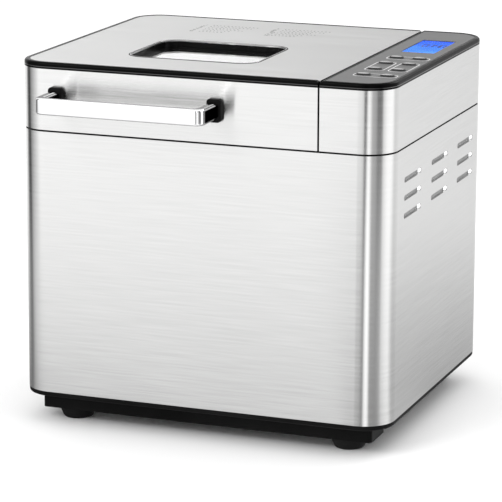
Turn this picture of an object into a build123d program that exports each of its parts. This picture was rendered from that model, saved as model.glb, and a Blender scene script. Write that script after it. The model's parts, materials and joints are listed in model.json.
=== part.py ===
from build123d import *
import os
from math import cos, radians, sin

os.makedirs("parts", exist_ok=True)

# Bread machine: window lid on rear hinges, lift-out pan, belt drive, push-button panel.
# Millimetres. X runs along the front, Y from front to back, Z up from the floor.
# The origin is on the floor, under the middle of the whole, from handle to hinge barrels.

# Casing
BODY_W = 330.0  # left to right
BODY_D = 280.0  # front to back, without handle and hinges
CORNER_R = 26.5  # corners in plan
SHEET = 0.8  # stainless sheet
REAR_RETURN = 6.0  # shell's flat edge behind its rear corner
FIT = 0.3  # gap between neighbouring pieces
SLIP = 0.05  # radial gap of shafts, pins and screws in their holes

# Heights, from the floor up
FOOT_H = 10.0  # foot below the rail
RAIL_H = 13.5  # rail below the tray's lip
LIP_H = 4.5  # lip that shows under the shell
SHELL_H = 226.8  # shell and rear panel, from lip to seam
SEAM = 1.5  # open seam under lid and control cover
SKIRT_H = 51.9  # lid skirt and control cover
RIM_H = 5.6  # black rim on top

# Base tray, rails and feet
LIP_INSET = 0.3
LIP_ROUND = 2.0
TRAY_WALL = 2.5
TRAY_FLOOR = 3.0
TRAY_UPSTAND = 12.0  # wall that the shell slips over
RAIL_END = 16.0  # body's end to rail's end
RAIL_SETBACK = 14.0  # body's front or back to the rail
RAIL_DEPTH = 36.0
RAIL_CORNER = 3.0
FOOT_END = 41.0  # body's end to the foot's middle
FOOT_TOP_R = 16.5
FOOT_SOLE_R = 12.5
FOOT_ROUND = 2.5
FOOT_PLUG_R = 5.0
FLOOR_SLOT_L = 30.0
FLOOR_SLOT_W = 4.0
FLOOR_SLOT_PITCH = 12.0
FLOOR_SLOTS = 6
FLOOR_SLOT_X = 40.0  # body's left end to the middle of the slots

# Chassis posts, deck and screws
POST_R = 4.5
POST_END = 10.5  # body's end to the post's middle
POST_GAP = 12.0  # rail's inner edge to the post's middle
DECK_T = 3.0
DECK_DROP = 1.5  # deck surface below the shell's edge
DECK_RIB_W = 2.5  # rib that the control cover slips over
DECK_RIB_H = 6.0
WIRE_SLOT_W = 26.0  # opening under the control section
WIRE_SLOT_D = 170.0
SCREW_R = 1.8
SCREW_HEAD_R = 3.2
SCREW_HEAD_H = 2.0
SCREW_L = 11.0  # below the head

# Split between lid and control section
PANEL_W = 59.0
LID_GAP = 1.6

# Rims and top plates
RIM_W = 4.5  # band that shows around the plate
PANEL_BAND = 2.6  # the control section's band beside the lid
LID_PLATE_OVER = 0.8  # lid plate's overhang over the gap beside the control section
RIM_ROUND = 2.4
RIM_LEDGE = 6.0  # ledge under the lid plate's edge
PANEL_LEDGE = 2.0  # ledge under the control plate's edge
RIM_SPIGOT = 8.0  # wall inside the sheet
RIM_WALL = 2.0
PLATE_T = 1.0
PLATE_DROP = 0.4  # plate below the rim's top
BOSS_R = 4.0
BOSS_INSET = 10.0  # outer face to the boss's middle
LID_BOSS_SPAN = 200.0
LEG_END = 35.0  # front and back faces to the control section's legs

# Lid window
WINDOW_W = 115.0
WINDOW_D = 93.0
WINDOW_R = 15.0
WINDOW_Y = -36.7  # from the lid's middle, towards the front
RING_W = 2.0
WELL_WALL = 2.0
WELL_DEPTH = 5.5  # plate's surface down to the glass
WELL_FLANGE = 7.0
WELL_LEDGE = 4.0  # under the glass's edge
WELL_LEDGE_T = 1.5
GLASS_T = 3.0

# Baking chamber
CHAMBER_SIDE = 22.7  # lid's side faces to the chamber's inside
CHAMBER_FRONT = 37.0  # lid's front and back faces to the chamber's inside
CHAMBER_R = 20.0
CHAMBER_FLANGE = 6.0

# Lid liner and seal
LINER_CLEAR = 2.0  # liner wider than the chamber, each side
LINER_LIFT = 3.0  # liner's flange above the skirt's edge
SEAL_W = 3.4

# Handle
HANDLE_LEFT = 39.0  # lid's left face to the left post's middle
HANDLE_SPAN = 142.0  # post to post
HANDLE_UP = 27.7  # skirt's lower edge to the bar's middle
HANDLE_REACH = 40.0  # bar's front before the lid's face
BAR_H = 14.0
BAR_T = 6.5
ARM_T = 8.0
BAR_BEND_R = 8.0  # outside of the bend
BAR_INSIDE_R = 3.0  # inside of the bend
BAR_ROUND = 2.4
HANDLE_POST_W = 12.5
HANDLE_POST_H = 19.6
HANDLE_POST_T = 5.0
HANDLE_POST_R = 3.0

# Rear hinges
HINGE_PITCH = 160.0
HINGE_W = 44.0
HINGE_GAP = 0.5  # knuckles behind the rear face
HINGE_TONGUE = 16.0  # lid's knuckle
KNUCKLE_R = 4.5
PIN_R = 2.0
LEAF_T = 2.0
LEAF_H = 24.0  # axis to the leaf's far edge
LEAF_GAP = 1.0  # leaf's near edge to the other leaf's knuckle
LEAF_SCREW_PITCH = 28.0
LEAF_SCREW_UP = 15.0  # axis to the screws
LEAF_SCREW_L = 5.0  # below the head

# Control panel
LCD_W = 30.0
LCD_D = 67.0
LCD_BACK = 82.5  # back face to the display's middle
LCD_OFFSET = 1.0  # display's middle right of the panel's
LCD_BORDER = 1.2  # module and lens flange beyond the window
LENS_FLANGE_T = 1.0
BOARD_W = 46.0
BOARD_END = 40.0  # front and back faces to the board's ends
BOARD_T = 1.6
BOARD_GAP = 10.0  # board below the plate
STUD_R = 3.0
STUD_PITCH_X = 39.0
STUD_BACK = 43.0  # back face to the back studs
BUTTON_W = 13.0
BUTTON_D = 11.0
BUTTON_R = 3.0
BUTTON_PROUD = 0.9
BUTTON_ROUND = 0.6
BUTTON_FLANGE = 1.0  # flange beyond the cap, each side, and its thickness
BUTTON_STEM_R = 1.5
BUTTON_TRAVEL = 1.2
BUTTON_ROWS = 4
BUTTON_PITCH_X = 20.4
BUTTON_FRONT = 43.45  # front face to the front row's middle
BUTTON_OFFSET = 3.5  # button block's middle right of the panel's
BUTTON_LCD = 32.65  # display's edge to the back row's middle
SWITCH_W = 6.0
SWITCH_H = 4.5
SWITCH_GRIP = 1.0  # stem inside the switch at rest

# Bread pan
PAN_SIDE = 17.0  # chamber's side walls to the pan, at the rim
PAN_FRONT = 36.0  # chamber's front and back walls to the pan, at the rim
PAN_SUNK = 34.0  # deck down to the pan's rim
PAN_R = 28.0
PAN_DRAFT = 7.0  # each side draws in by this at the bottom
PAN_WALL = 1.5
PAN_RIM = 2.0
PAN_RIM_H = 3.0
PAN_BASE_R = 38.0
PAN_BASE_H = 22.0
PAN_BASE_T = 3.0
SEAT_WALL = 4.0
SEAT_H = 12.0
SEAT_CLEAR = 0.5
EAR_W = 20.0
EAR_H = 18.0
EAR_T = 2.0
BAIL_R = 2.0
BAIL_BEND_R = 16.0
BAIL_END_R = 3.0
BAIL_DROP = 10.0  # pan's rim down to the bail's axis
BAIL_SPARE = 7.0  # bail's bar beyond the pan's rim
BAIL_DROOP = 20.0  # degrees below level, where the bail lies at rest

# Kneading drive in the pan
SHAFT_R = 4.0
PAN_BUSH_R = 9.0
PAN_BUSH_FLANGE = 4.0
PAN_BUSH_FLANGE_T = 2.0
PAN_BUSH_DROP = 2.3  # bush below the pan base's top plate
WING_L = 26.0
WING_T = 6.0
WING_H = 8.0
WING_ANGLE = 42.0  # wing ahead of the drive dog's lugs, degrees
PADDLE_HUB_R = 8.0
PADDLE_H = 20.0
PADDLE_CAP = 2.5
PADDLE_GAP = 9.0  # blade's tip to the pan's wall
PADDLE_T = 7.0
PADDLE_HUB_TAPER = 4.0  # degrees
PADDLE_BLADE_TAPER = 6.0  # degrees

# Drive under the chamber
BRACKET_UP = 28.0  # tray floor to the bracket
BRACKET_T = 2.0
BRACKET_D = 86.0
BRACKET_LEFT = 80.0  # spindle to the bracket's left end
BRACKET_END = 6.0  # body's right end to the bracket's right end
BRACKET_LEG_R = 6.0
BRACKET_LEG_INSET = 10.0
STANDOFF_R = 5.0
STANDOFF_H = 12.0  # bracket to the chamber's floor
STANDOFF_PITCH_X = 120.0
STANDOFF_PITCH_Y = 60.0
HOUSING_R = 12.0
HOUSING_FLANGE_R = 20.0
HOUSING_FLANGE_T = 4.0
HOUSING_DOWN = 7.0  # below the bracket
HOUSING_UP = 2.0  # above the chamber's floor
BUSH_R = 7.0
BUSH_L = 8.0
DOG_HUB_R = 15.0
DOG_HUB_H = 4.0
DOG_LUG_IN = 9.0
DOG_LUG_W = 6.0
DOG_LUG_H = 10.0
PULLEY_R = 52.0
PULLEY_FLANGE = 3.0
PULLEY_FLANGE_T = 1.5
PULLEY_HUB_R = 11.0
PULLEY_WEB_T = 4.0
PULLEY_HOLE_R = 11.0
PULLEY_HOLES = 5
BELT_W = 9.0
BELT_T = 2.4
BELT_SIDE_GAP = 0.4
HUB_RISE = 2.5  # pulley hub above its flange
MOTOR_END = 41.0  # body's right end to the motor's shaft
MOTOR_PULLEY_R = 8.0
MOTOR_SHAFT_R = 3.0
MOTOR_W = 58.0
MOTOR_R = 10.0
MOTOR_STACK_H = 34.0
MOTOR_BELL_R = 25.0
MOTOR_BELL_H = 14.0
MOTOR_SCREW_PITCH = 40.0

# Heating element and probe
ELEMENT_R = 3.25
ELEMENT_UP = 24.0  # above the chamber's floor
ELEMENT_GAP_X = 8.0  # middle of the tube to the chamber's wall
ELEMENT_GAP_Y = 21.0
ELEMENT_ENDS = 22.0  # between the two ends
ELEMENT_OUT = 10.0  # end beyond the chamber's inside
ELEMENT_CORNER_R = 24.0
ELEMENT_BUSH_R = 6.0
ELEMENT_BUSH_T = 3.0
CLIP_W = 8.0
CLIP_T = 3.0
CLIP_PITCH = 120.0
PROBE_R = 2.5
PROBE_IN = 14.0
PROBE_NUT_R = 6.0
PROBE_NUT_T = 4.0
PROBE_Y = -62.0
PROBE_UP = 70.0

# Electrics on the tray
SUPPLY_W = 48.0
SUPPLY_UP = 8.0
SUPPLY_END = 49.0  # body's right end to the board's middle
SUPPLY_GAP = 3.0  # board and capacitor beside the bracket
SUPPLY_EDGE = 2.0  # board's edge to the rail
SUPPLY_FOOT_R = 3.0
SUPPLY_FOOT_INSET = 5.0
TRANSFORMER = (22.0, 26.0, 22.0)
RELAY = (15.0, 19.0, 15.0)
CAPACITOR_R = 14.0
CAPACITOR_H = 48.0
CAPACITOR_END = 47.0  # body's right end to the capacitor's middle
CAPACITOR_FLANGE = 2.0
CAPACITOR_FLANGE_T = 3.0
GLAND_END = 52.0  # body's right end to the gland
GLAND_UP = 26.0  # above the shell's lower edge
GLAND_BORE_R = 4.0
GLAND_R = 6.5
GLAND_FLANGE_R = 10.0
GLAND_FLANGE_T = 3.0

# Louvres on the right side
LOUVRE_L = 46.0
LOUVRE_H = 4.6
LOUVRE_DEPTH = 3.0
LOUVRE_PITCH_Y = 75.5
LOUVRE_PITCH_Z = 15.2
LOUVRE_Y = 2.0
LOUVRE_DOWN = 41.9  # seam down to the middle row
LOUVRE_SLIT = 3.2
LOUVRE_COUNT = 3  # rows, and columns

# Levels
Z_LIP = FOOT_H + RAIL_H
Z_FLOOR = Z_LIP + TRAY_FLOOR
Z_SHELL = Z_LIP + LIP_H
Z_SEAM = Z_SHELL + SHELL_H
Z_SKIRT = Z_SEAM + SEAM
Z_RIM = Z_SKIRT + SKIRT_H
Z_TOP = Z_RIM + RIM_H
Z_DECK = Z_SEAM - DECK_DROP
Z_PLATE_TOP = Z_TOP - PLATE_DROP
Z_PLATE = Z_PLATE_TOP - PLATE_T
Z_GLASS = Z_PLATE_TOP - WELL_DEPTH - GLASS_T
Z_LINER_TOP = Z_GLASS - WELL_LEDGE_T
Z_LINER = Z_SKIRT + LINER_LIFT
Z_BRACKET = Z_FLOOR + BRACKET_UP
Z_BRACKET_TOP = Z_BRACKET + BRACKET_T
Z_CHAMBER = Z_BRACKET_TOP + STANDOFF_H
Z_CHAMBER_FLOOR = Z_CHAMBER + SHEET
Z_ELEMENT = Z_CHAMBER_FLOOR + ELEMENT_UP
Z_HOUSING_TOP = Z_CHAMBER_FLOOR + HOUSING_UP
Z_HOUSING = Z_BRACKET - HOUSING_DOWN
Z_DOG = Z_HOUSING_TOP + FIT
Z_PAN = Z_CHAMBER_FLOOR + PAN_BASE_H
Z_PAN_FLOOR = Z_PAN + PAN_WALL
Z_PAN_RIM = Z_DECK - PAN_SUNK
Z_PAN_BUSH = Z_PAN - PAN_BASE_T - PAN_BUSH_DROP
Z_PADDLE = Z_PAN_FLOOR + PAN_BUSH_FLANGE_T + FIT
Z_BAIL = Z_PAN_RIM - BAIL_DROP
PULLEY_H = BELT_W + 2 * BELT_SIDE_GAP + 2 * PULLEY_FLANGE_T
Z_PULLEY = Z_HOUSING - FIT - HUB_RISE - PULLEY_H
Z_BOARD = Z_PLATE - BOARD_GAP
HINGE_Z = (Z_SEAM + Z_SKIRT) / 2
HANDLE_Z = Z_SKIRT + HANDLE_UP

# Places in plan, from the body's middle
HINGE_BACK = HINGE_GAP + KNUCKLE_R
HINGE_OUT = HINGE_BACK + KNUCKLE_R
BODY_Y = (HANDLE_REACH - HINGE_OUT) / 2
FRONT = -BODY_D / 2
BACK = BODY_D / 2
REAR_W = BODY_W - 2 * (CORNER_R + REAR_RETURN)
LID_RIGHT = BODY_W / 2 - PANEL_W - LID_GAP
LID_W = LID_RIGHT + BODY_W / 2
LID_X = LID_RIGHT - LID_W / 2
PANEL_X = BODY_W / 2 - PANEL_W / 2
LCD_X = PANEL_X + LCD_OFFSET
BUTTON_X = PANEL_X + BUTTON_OFFSET
MOTOR_X = BODY_W / 2 - MOTOR_END
RAIL_L = BODY_W - 2 * RAIL_END
RAIL_Y = BODY_D / 2 - RAIL_SETBACK - RAIL_DEPTH / 2
POST_PITCH_X = BODY_W - 2 * POST_END
POST_PITCH = 2 * (RAIL_Y - RAIL_DEPTH / 2 - POST_GAP)
HANDLE_X = HANDLE_LEFT + HANDLE_SPAN / 2 - BODY_W / 2
CHAMBER_W = LID_W - 2 * CHAMBER_SIDE
CHAMBER_D = BODY_D - 2 * CHAMBER_FRONT
PAN_W = CHAMBER_W - 2 * PAN_SIDE
PAN_D = CHAMBER_D - 2 * PAN_FRONT
LEG_PITCH_X = PANEL_W - 2 * BOSS_INSET
LEG_PITCH = BODY_D - 2 * LEG_END
BOARD_D = BODY_D - 2 * BOARD_END
LCD_Y = BACK - LCD_BACK
BUTTON_FIRST_Y = FRONT + BUTTON_FRONT
BUTTON_LAST_Y = LCD_Y - LCD_D / 2 - BUTTON_LCD
BUTTON_PITCH_Y = (BUTTON_LAST_Y - BUTTON_FIRST_Y) / (BUTTON_ROWS - 1)
BUTTON_ROWS_Y = (BUTTON_FIRST_Y + BUTTON_LAST_Y) / 2
STUD_SPOTS_Y = (BUTTON_FIRST_Y + BUTTON_PITCH_Y / 2, BACK - STUD_BACK)
BRACKET_L = BODY_W / 2 - BRACKET_END - LID_X + BRACKET_LEFT
BRACKET_X = LID_X - BRACKET_LEFT + BRACKET_L / 2
BRACKET_LEG_PITCH_X = BRACKET_L - 2 * BRACKET_LEG_INSET
BRACKET_LEG_PITCH_Y = BRACKET_D - 2 * BRACKET_LEG_INSET
SUPPLY_X = BODY_W / 2 - SUPPLY_END
SUPPLY_D = RAIL_Y - (RAIL_DEPTH + BRACKET_D) / 2 - SUPPLY_GAP - SUPPLY_EDGE
SUPPLY_Y = -(BRACKET_D + SUPPLY_D) / 2 - SUPPLY_GAP
CAPACITOR_X = BODY_W / 2 - CAPACITOR_END
CAPACITOR_Y = BRACKET_D / 2 + SUPPLY_GAP + CAPACITOR_R + CAPACITOR_FLANGE
GLAND_X = BODY_W / 2 - GLAND_END
ELEMENT_BEND_R = ELEMENT_GAP_X - FIT
PADDLE_TIP = PAN_D / 2 - PAN_DRAFT - PAN_WALL - PADDLE_GAP
MIN_Z = (Align.CENTER, Align.CENTER, Align.MIN)
MAX_Z = (Align.CENTER, Align.CENTER, Align.MAX)


def level(z, x=0.0, y=0.0):
    """Level plane at height z, placed in plan from the body's middle."""
    return Plane((x, BODY_Y + y, z))


def under(z, x=0.0):
    """Level plane at height z that faces down, for what is fixed from below."""
    return Plane((x, BODY_Y, z), x_dir=(1, 0, 0), z_dir=(0, 0, -1))


def front_plane(y, x=0.0, z=0.0):
    """Upright plane across the body, facing the front."""
    return Plane((x, BODY_Y + y, z), x_dir=(1, 0, 0), z_dir=(0, -1, 0))


def back_plane(y, x=0.0, z=0.0):
    """Upright plane across the body, facing the back."""
    return Plane((x, BODY_Y + y, z), x_dir=(-1, 0, 0), z_dir=(0, 1, 0))


def side_plane(x, y=0.0, z=0.0):
    """Upright plane along the body, facing the right, with its own x towards the back."""
    return Plane((x, BODY_Y + y, z), x_dir=(0, 1, 0), z_dir=(1, 0, 0))


def body_outline(inset=0.0):
    """Plan of the whole body, drawn in by inset."""
    RectangleRounded(BODY_W - 2 * inset, BODY_D - 2 * inset, CORNER_R - inset)


def lid_outline(inset=0.0):
    """Plan of the lid, drawn in by inset: the body's plan up to the lid's right face."""
    body_outline(inset)
    with Locations((LID_X, 0)):
        Rectangle(LID_W - 2 * inset, BODY_D, mode=Mode.INTERSECT)


def panel_outline(inset=0.0):
    """Plan of the control section, drawn in by inset."""
    body_outline(inset)
    with Locations((PANEL_X, 0)):
        Rectangle(PANEL_W - 2 * inset, BODY_D, mode=Mode.INTERSECT)


def plate_outline(gap=0.0):
    """Plan of the control plate's recess, drawn in by gap."""
    body_outline(RIM_W + gap)
    with Locations((BODY_W / 2 - PANEL_W + PANEL_BAND + gap, 0)):
        Rectangle(PANEL_W, BODY_D, align=(Align.MIN, Align.CENTER), mode=Mode.INTERSECT)


def chamber_outline(grow=0.0):
    """Plan of the baking chamber's inside, let out by grow, about its own middle."""
    RectangleRounded(CHAMBER_W + 2 * grow, CHAMBER_D + 2 * grow, CHAMBER_R + grow)


def window_outline(grow=0.0):
    """Plan of the lid's window opening, let out by grow, about its own middle."""
    RectangleRounded(WINDOW_W + 2 * grow, WINDOW_D + 2 * grow, WINDOW_R + grow)


def screw(length=SCREW_L):
    """Round-headed screw that stands on its shank, with the head's seat on the workplane."""
    Cylinder(SCREW_R, length, align=MAX_Z)
    Cylinder(SCREW_HEAD_R, SCREW_HEAD_H, align=MIN_Z)


# Base: feet, tray, shell

with BuildPart(level(0)) as feet:
    with GridLocations(BODY_W - 2 * FOOT_END, 2 * RAIL_Y, 2, 2):
        Cone(FOOT_SOLE_R, FOOT_TOP_R, FOOT_H, align=MIN_Z)
    soles = feet.edges().filter_by(GeomType.CIRCLE).group_by(Axis.Z)[0]
    fillet(soles, FOOT_ROUND)
    with Locations((0, 0, FOOT_H)):
        with GridLocations(BODY_W - 2 * FOOT_END, 2 * RAIL_Y, 2, 2):
            Cylinder(FOOT_PLUG_R, TRAY_WALL, align=MIN_Z)
feet.part.label = "feet"
export_step(feet.part, "parts/feet.step")

with BuildPart() as base_tray:
    with BuildSketch(level(Z_LIP)):
        body_outline(LIP_INSET)
    extrude(amount=LIP_H)
    fillet(base_tray.faces().sort_by(Axis.Z)[0].edges(), LIP_ROUND)
    with BuildSketch(level(Z_SHELL)):
        body_outline(SHEET + FIT)
    extrude(amount=TRAY_UPSTAND)
    with BuildSketch(level(FOOT_H)):
        with GridLocations(0, 2 * RAIL_Y, 1, 2):
            RectangleRounded(RAIL_L, RAIL_DEPTH, RAIL_CORNER)
    extrude(amount=RAIL_H)
    with BuildSketch(level(Z_FLOOR)):
        body_outline(SHEET + FIT + TRAY_WALL)
    extrude(amount=LIP_H + TRAY_UPSTAND, mode=Mode.SUBTRACT)
    with BuildSketch(level(FOOT_H + TRAY_WALL)):
        with GridLocations(0, 2 * RAIL_Y, 1, 2):
            RectangleRounded(RAIL_L - 2 * TRAY_WALL, RAIL_DEPTH - 2 * TRAY_WALL, RAIL_CORNER - TRAY_WALL)
    extrude(amount=Z_FLOOR - FOOT_H - TRAY_WALL, mode=Mode.SUBTRACT)
    with BuildSketch(level(FOOT_H)):
        with GridLocations(BODY_W - 2 * FOOT_END, 2 * RAIL_Y, 2, 2):
            Circle(FOOT_PLUG_R + SLIP)
    extrude(amount=TRAY_WALL, mode=Mode.SUBTRACT)
    with BuildSketch(level(Z_LIP)):
        with GridLocations(POST_PITCH_X, POST_PITCH, 2, 2):
            Circle(SCREW_R + SLIP)
    extrude(amount=TRAY_FLOOR, mode=Mode.SUBTRACT)
    with BuildSketch(level(Z_LIP, BRACKET_X)):
        with GridLocations(BRACKET_LEG_PITCH_X, BRACKET_LEG_PITCH_Y, 2, 2):
            Circle(SCREW_R + SLIP)
    extrude(amount=TRAY_FLOOR, mode=Mode.SUBTRACT)
    with BuildSketch(level(Z_LIP, FLOOR_SLOT_X - BODY_W / 2)):
        with GridLocations(0, FLOOR_SLOT_PITCH, 1, FLOOR_SLOTS):
            SlotOverall(FLOOR_SLOT_L, FLOOR_SLOT_W)
    extrude(amount=TRAY_FLOOR, mode=Mode.SUBTRACT)
base_tray.part.label = "base_tray"
export_step(base_tray.part, "parts/base_tray.step")

with BuildPart() as outer_shell:
    with BuildSketch(level(Z_SHELL)):
        body_outline()
    extrude(amount=SHELL_H)
    with BuildSketch(level(Z_SHELL)):
        body_outline(SHEET)
    extrude(amount=SHELL_H, mode=Mode.SUBTRACT)
    # Louvres are pockets pressed inwards, each with a slit along its floor.
    louvre_face = side_plane(BODY_W / 2, LOUVRE_Y, Z_SEAM - LOUVRE_DOWN)
    with BuildSketch(louvre_face.offset(-SHEET)):
        with GridLocations(LOUVRE_PITCH_Y, LOUVRE_PITCH_Z, LOUVRE_COUNT, LOUVRE_COUNT):
            SlotOverall(LOUVRE_L + 2 * SHEET, LOUVRE_H + 2 * SHEET)
    extrude(amount=-LOUVRE_DEPTH)
    with BuildSketch(louvre_face):
        with GridLocations(LOUVRE_PITCH_Y, LOUVRE_PITCH_Z, LOUVRE_COUNT, LOUVRE_COUNT):
            SlotOverall(LOUVRE_L, LOUVRE_H)
    extrude(amount=-LOUVRE_DEPTH, mode=Mode.SUBTRACT)
    with BuildSketch(louvre_face):
        with GridLocations(LOUVRE_PITCH_Y, LOUVRE_PITCH_Z, LOUVRE_COUNT, LOUVRE_COUNT):
            SlotOverall(LOUVRE_L - LOUVRE_H, LOUVRE_SLIT)
    extrude(amount=-(LOUVRE_DEPTH + SHEET), mode=Mode.SUBTRACT)
    # Open at the back, where the rear panel fits.
    with BuildSketch(back_plane(BACK, 0, Z_SHELL)):
        Rectangle(REAR_W, SHELL_H, align=(Align.CENTER, Align.MIN))
    extrude(amount=-SHEET, mode=Mode.SUBTRACT)
outer_shell.part.label = "outer_shell"
export_step(outer_shell.part, "parts/outer_shell.step")

with BuildPart() as rear_panel:
    with BuildSketch(back_plane(BACK, 0, Z_SHELL)):
        Rectangle(REAR_W - 2 * SLIP, SHELL_H, align=(Align.CENTER, Align.MIN))
    extrude(amount=-SHEET)
    with BuildSketch(back_plane(BACK, GLAND_X, Z_SHELL + GLAND_UP)):
        Circle(GLAND_R + SLIP)
    extrude(amount=-SHEET, mode=Mode.SUBTRACT)
    with BuildSketch(back_plane(BACK, LID_X, HINGE_Z - LEAF_SCREW_UP)):
        with GridLocations(HINGE_PITCH, 0, 2, 1):
            with GridLocations(LEAF_SCREW_PITCH, 0, 2, 1):
                Circle(SCREW_R + SLIP)
    extrude(amount=-SHEET, mode=Mode.SUBTRACT)
rear_panel.part.label = "rear_panel"
export_step(rear_panel.part, "parts/rear_panel.step")

with BuildPart(back_plane(BACK, GLAND_X, Z_SHELL + GLAND_UP)) as cord_gland:
    Cylinder(GLAND_FLANGE_R, GLAND_FLANGE_T, align=MIN_Z)
    Cylinder(GLAND_R, SHEET, align=MAX_Z)
    with Locations((0, 0, -SHEET)):
        Cylinder(GLAND_FLANGE_R, GLAND_FLANGE_T, align=MAX_Z)
    chamfer(cord_gland.faces().sort_by(Axis.Y)[-1].edges(), GLAND_FLANGE_T / 3)
    Cylinder(GLAND_BORE_R, 4 * GLAND_FLANGE_T, mode=Mode.SUBTRACT)
cord_gland.part.label = "cord_gland"
export_step(cord_gland.part, "parts/cord_gland.step")

# Chassis: posts, deck, screws

with BuildPart() as corner_posts:
    with BuildSketch(level(Z_FLOOR)):
        with GridLocations(POST_PITCH_X, POST_PITCH, 2, 2):
            Circle(POST_R)
            Circle(SCREW_R + SLIP, mode=Mode.SUBTRACT)
    extrude(amount=Z_DECK - DECK_T - Z_FLOOR)
corner_posts.part.label = "corner_posts"
export_step(corner_posts.part, "parts/corner_posts.step")

with BuildPart() as top_deck:
    with BuildSketch(level(Z_DECK)):
        body_outline(SHEET + FIT)
    extrude(amount=-DECK_T)
    with BuildSketch(level(Z_DECK)):
        panel_outline(SHEET + FIT)
    extrude(amount=DECK_RIB_H)
    with BuildSketch(level(Z_DECK)):
        panel_outline(SHEET + FIT + DECK_RIB_W)
    extrude(amount=DECK_RIB_H, mode=Mode.SUBTRACT)
    with BuildSketch(level(Z_DECK, LID_X)):
        chamber_outline(SHEET + FIT)
    extrude(amount=-DECK_T, mode=Mode.SUBTRACT)
    with BuildSketch(level(Z_DECK, PANEL_X)):
        RectangleRounded(WIRE_SLOT_W, WIRE_SLOT_D, WIRE_SLOT_W / 4)
    extrude(amount=-DECK_T, mode=Mode.SUBTRACT)
    with BuildSketch(level(Z_DECK)):
        with GridLocations(POST_PITCH_X, POST_PITCH, 2, 2):
            Circle(SCREW_R + SLIP)
    extrude(amount=-DECK_T, mode=Mode.SUBTRACT)
    with BuildSketch(level(Z_DECK, PANEL_X)):
        with GridLocations(LEG_PITCH_X, LEG_PITCH, 2, 2):
            Circle(SCREW_R + SLIP)
    extrude(amount=-DECK_T, mode=Mode.SUBTRACT)
top_deck.part.label = "top_deck"
export_step(top_deck.part, "parts/top_deck.step")

with BuildPart() as chassis_screws:
    with Locations(level(Z_DECK)):
        with GridLocations(POST_PITCH_X, POST_PITCH, 2, 2):
            screw()
    with Locations(under(Z_LIP)):
        with GridLocations(POST_PITCH_X, POST_PITCH, 2, 2):
            screw()
    with Locations(under(Z_LIP, BRACKET_X)):
        with GridLocations(BRACKET_LEG_PITCH_X, BRACKET_LEG_PITCH_Y, 2, 2):
            screw()
    with Locations(under(Z_DECK - DECK_T, PANEL_X)):
        with GridLocations(LEG_PITCH_X, LEG_PITCH, 2, 2):
            screw()
    with Locations(under(Z_BRACKET, MOTOR_X)):
        with GridLocations(MOTOR_SCREW_PITCH, MOTOR_SCREW_PITCH, 2, 2):
            screw()
    with Locations(back_plane(BACK + LEAF_T, LID_X, HINGE_Z - LEAF_SCREW_UP)):
        with GridLocations(HINGE_PITCH, 0, 2, 1):
            with GridLocations(LEAF_SCREW_PITCH, 0, 2, 1):
                screw(LEAF_SCREW_L)
chassis_screws.part.label = "chassis_screws"
export_step(chassis_screws.part, "parts/chassis_screws.step")

# Baking chamber and what is fixed in it

with BuildPart() as baking_chamber:
    with BuildSketch(level(Z_CHAMBER, LID_X)):
        chamber_outline(SHEET)
    extrude(amount=Z_DECK - Z_CHAMBER)
    with BuildSketch(level(Z_DECK, LID_X)):
        chamber_outline(SHEET + CHAMBER_FLANGE)
    extrude(amount=SHEET)
    with BuildSketch(level(Z_CHAMBER_FLOOR, LID_X)):
        chamber_outline()
    extrude(amount=Z_DECK + SHEET - Z_CHAMBER_FLOOR, mode=Mode.SUBTRACT)
    with BuildSketch(level(Z_CHAMBER, LID_X)):
        Circle(HOUSING_R + FIT)
    extrude(amount=SHEET, mode=Mode.SUBTRACT)
    # Holes for the element's ends and the probe.
    with BuildSketch(side_plane(LID_X + CHAMBER_W / 2, 0, Z_ELEMENT)):
        with GridLocations(ELEMENT_ENDS, 0, 2, 1):
            Circle(ELEMENT_BUSH_R + SLIP)
    extrude(amount=SHEET, mode=Mode.SUBTRACT)
    with BuildSketch(side_plane(LID_X + CHAMBER_W / 2, PROBE_Y, Z_CHAMBER_FLOOR + PROBE_UP)):
        Circle(PROBE_R + SLIP)
    extrude(amount=SHEET, mode=Mode.SUBTRACT)
baking_chamber.part.label = "baking_chamber"
export_step(baking_chamber.part, "parts/baking_chamber.step")

with BuildPart() as heating_element:
    loop_x = CHAMBER_W / 2 - ELEMENT_GAP_X
    loop_y = CHAMBER_D / 2 - ELEMENT_GAP_Y
    end_x = CHAMBER_W / 2 + ELEMENT_OUT
    end_y = ELEMENT_ENDS / 2
    with BuildLine(level(Z_ELEMENT, LID_X)) as element_path:
        FilletPolyline(
            (end_x, end_y),
            (loop_x, end_y),
            (loop_x, loop_y),
            (-loop_x, loop_y),
            (-loop_x, -loop_y),
            (loop_x, -loop_y),
            (loop_x, -end_y),
            (end_x, -end_y),
            radius=[
                ELEMENT_BEND_R,
                ELEMENT_CORNER_R,
                ELEMENT_CORNER_R,
                ELEMENT_CORNER_R,
                ELEMENT_CORNER_R,
                ELEMENT_BEND_R,
            ],
        )
    with BuildSketch(side_plane(LID_X + end_x, end_y, Z_ELEMENT)):
        Circle(ELEMENT_R)
    sweep(path=element_path.wires()[0])
    # Brackets that stand on the chamber's floor.
    with BuildSketch(level(Z_CHAMBER_FLOOR, LID_X)):
        with GridLocations(CLIP_PITCH, 2 * loop_y, 2, 2):
            Rectangle(CLIP_T, CLIP_W)
    extrude(amount=ELEMENT_UP)
heating_element.part.label = "heating_element"
export_step(heating_element.part, "parts/heating_element.step")

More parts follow.
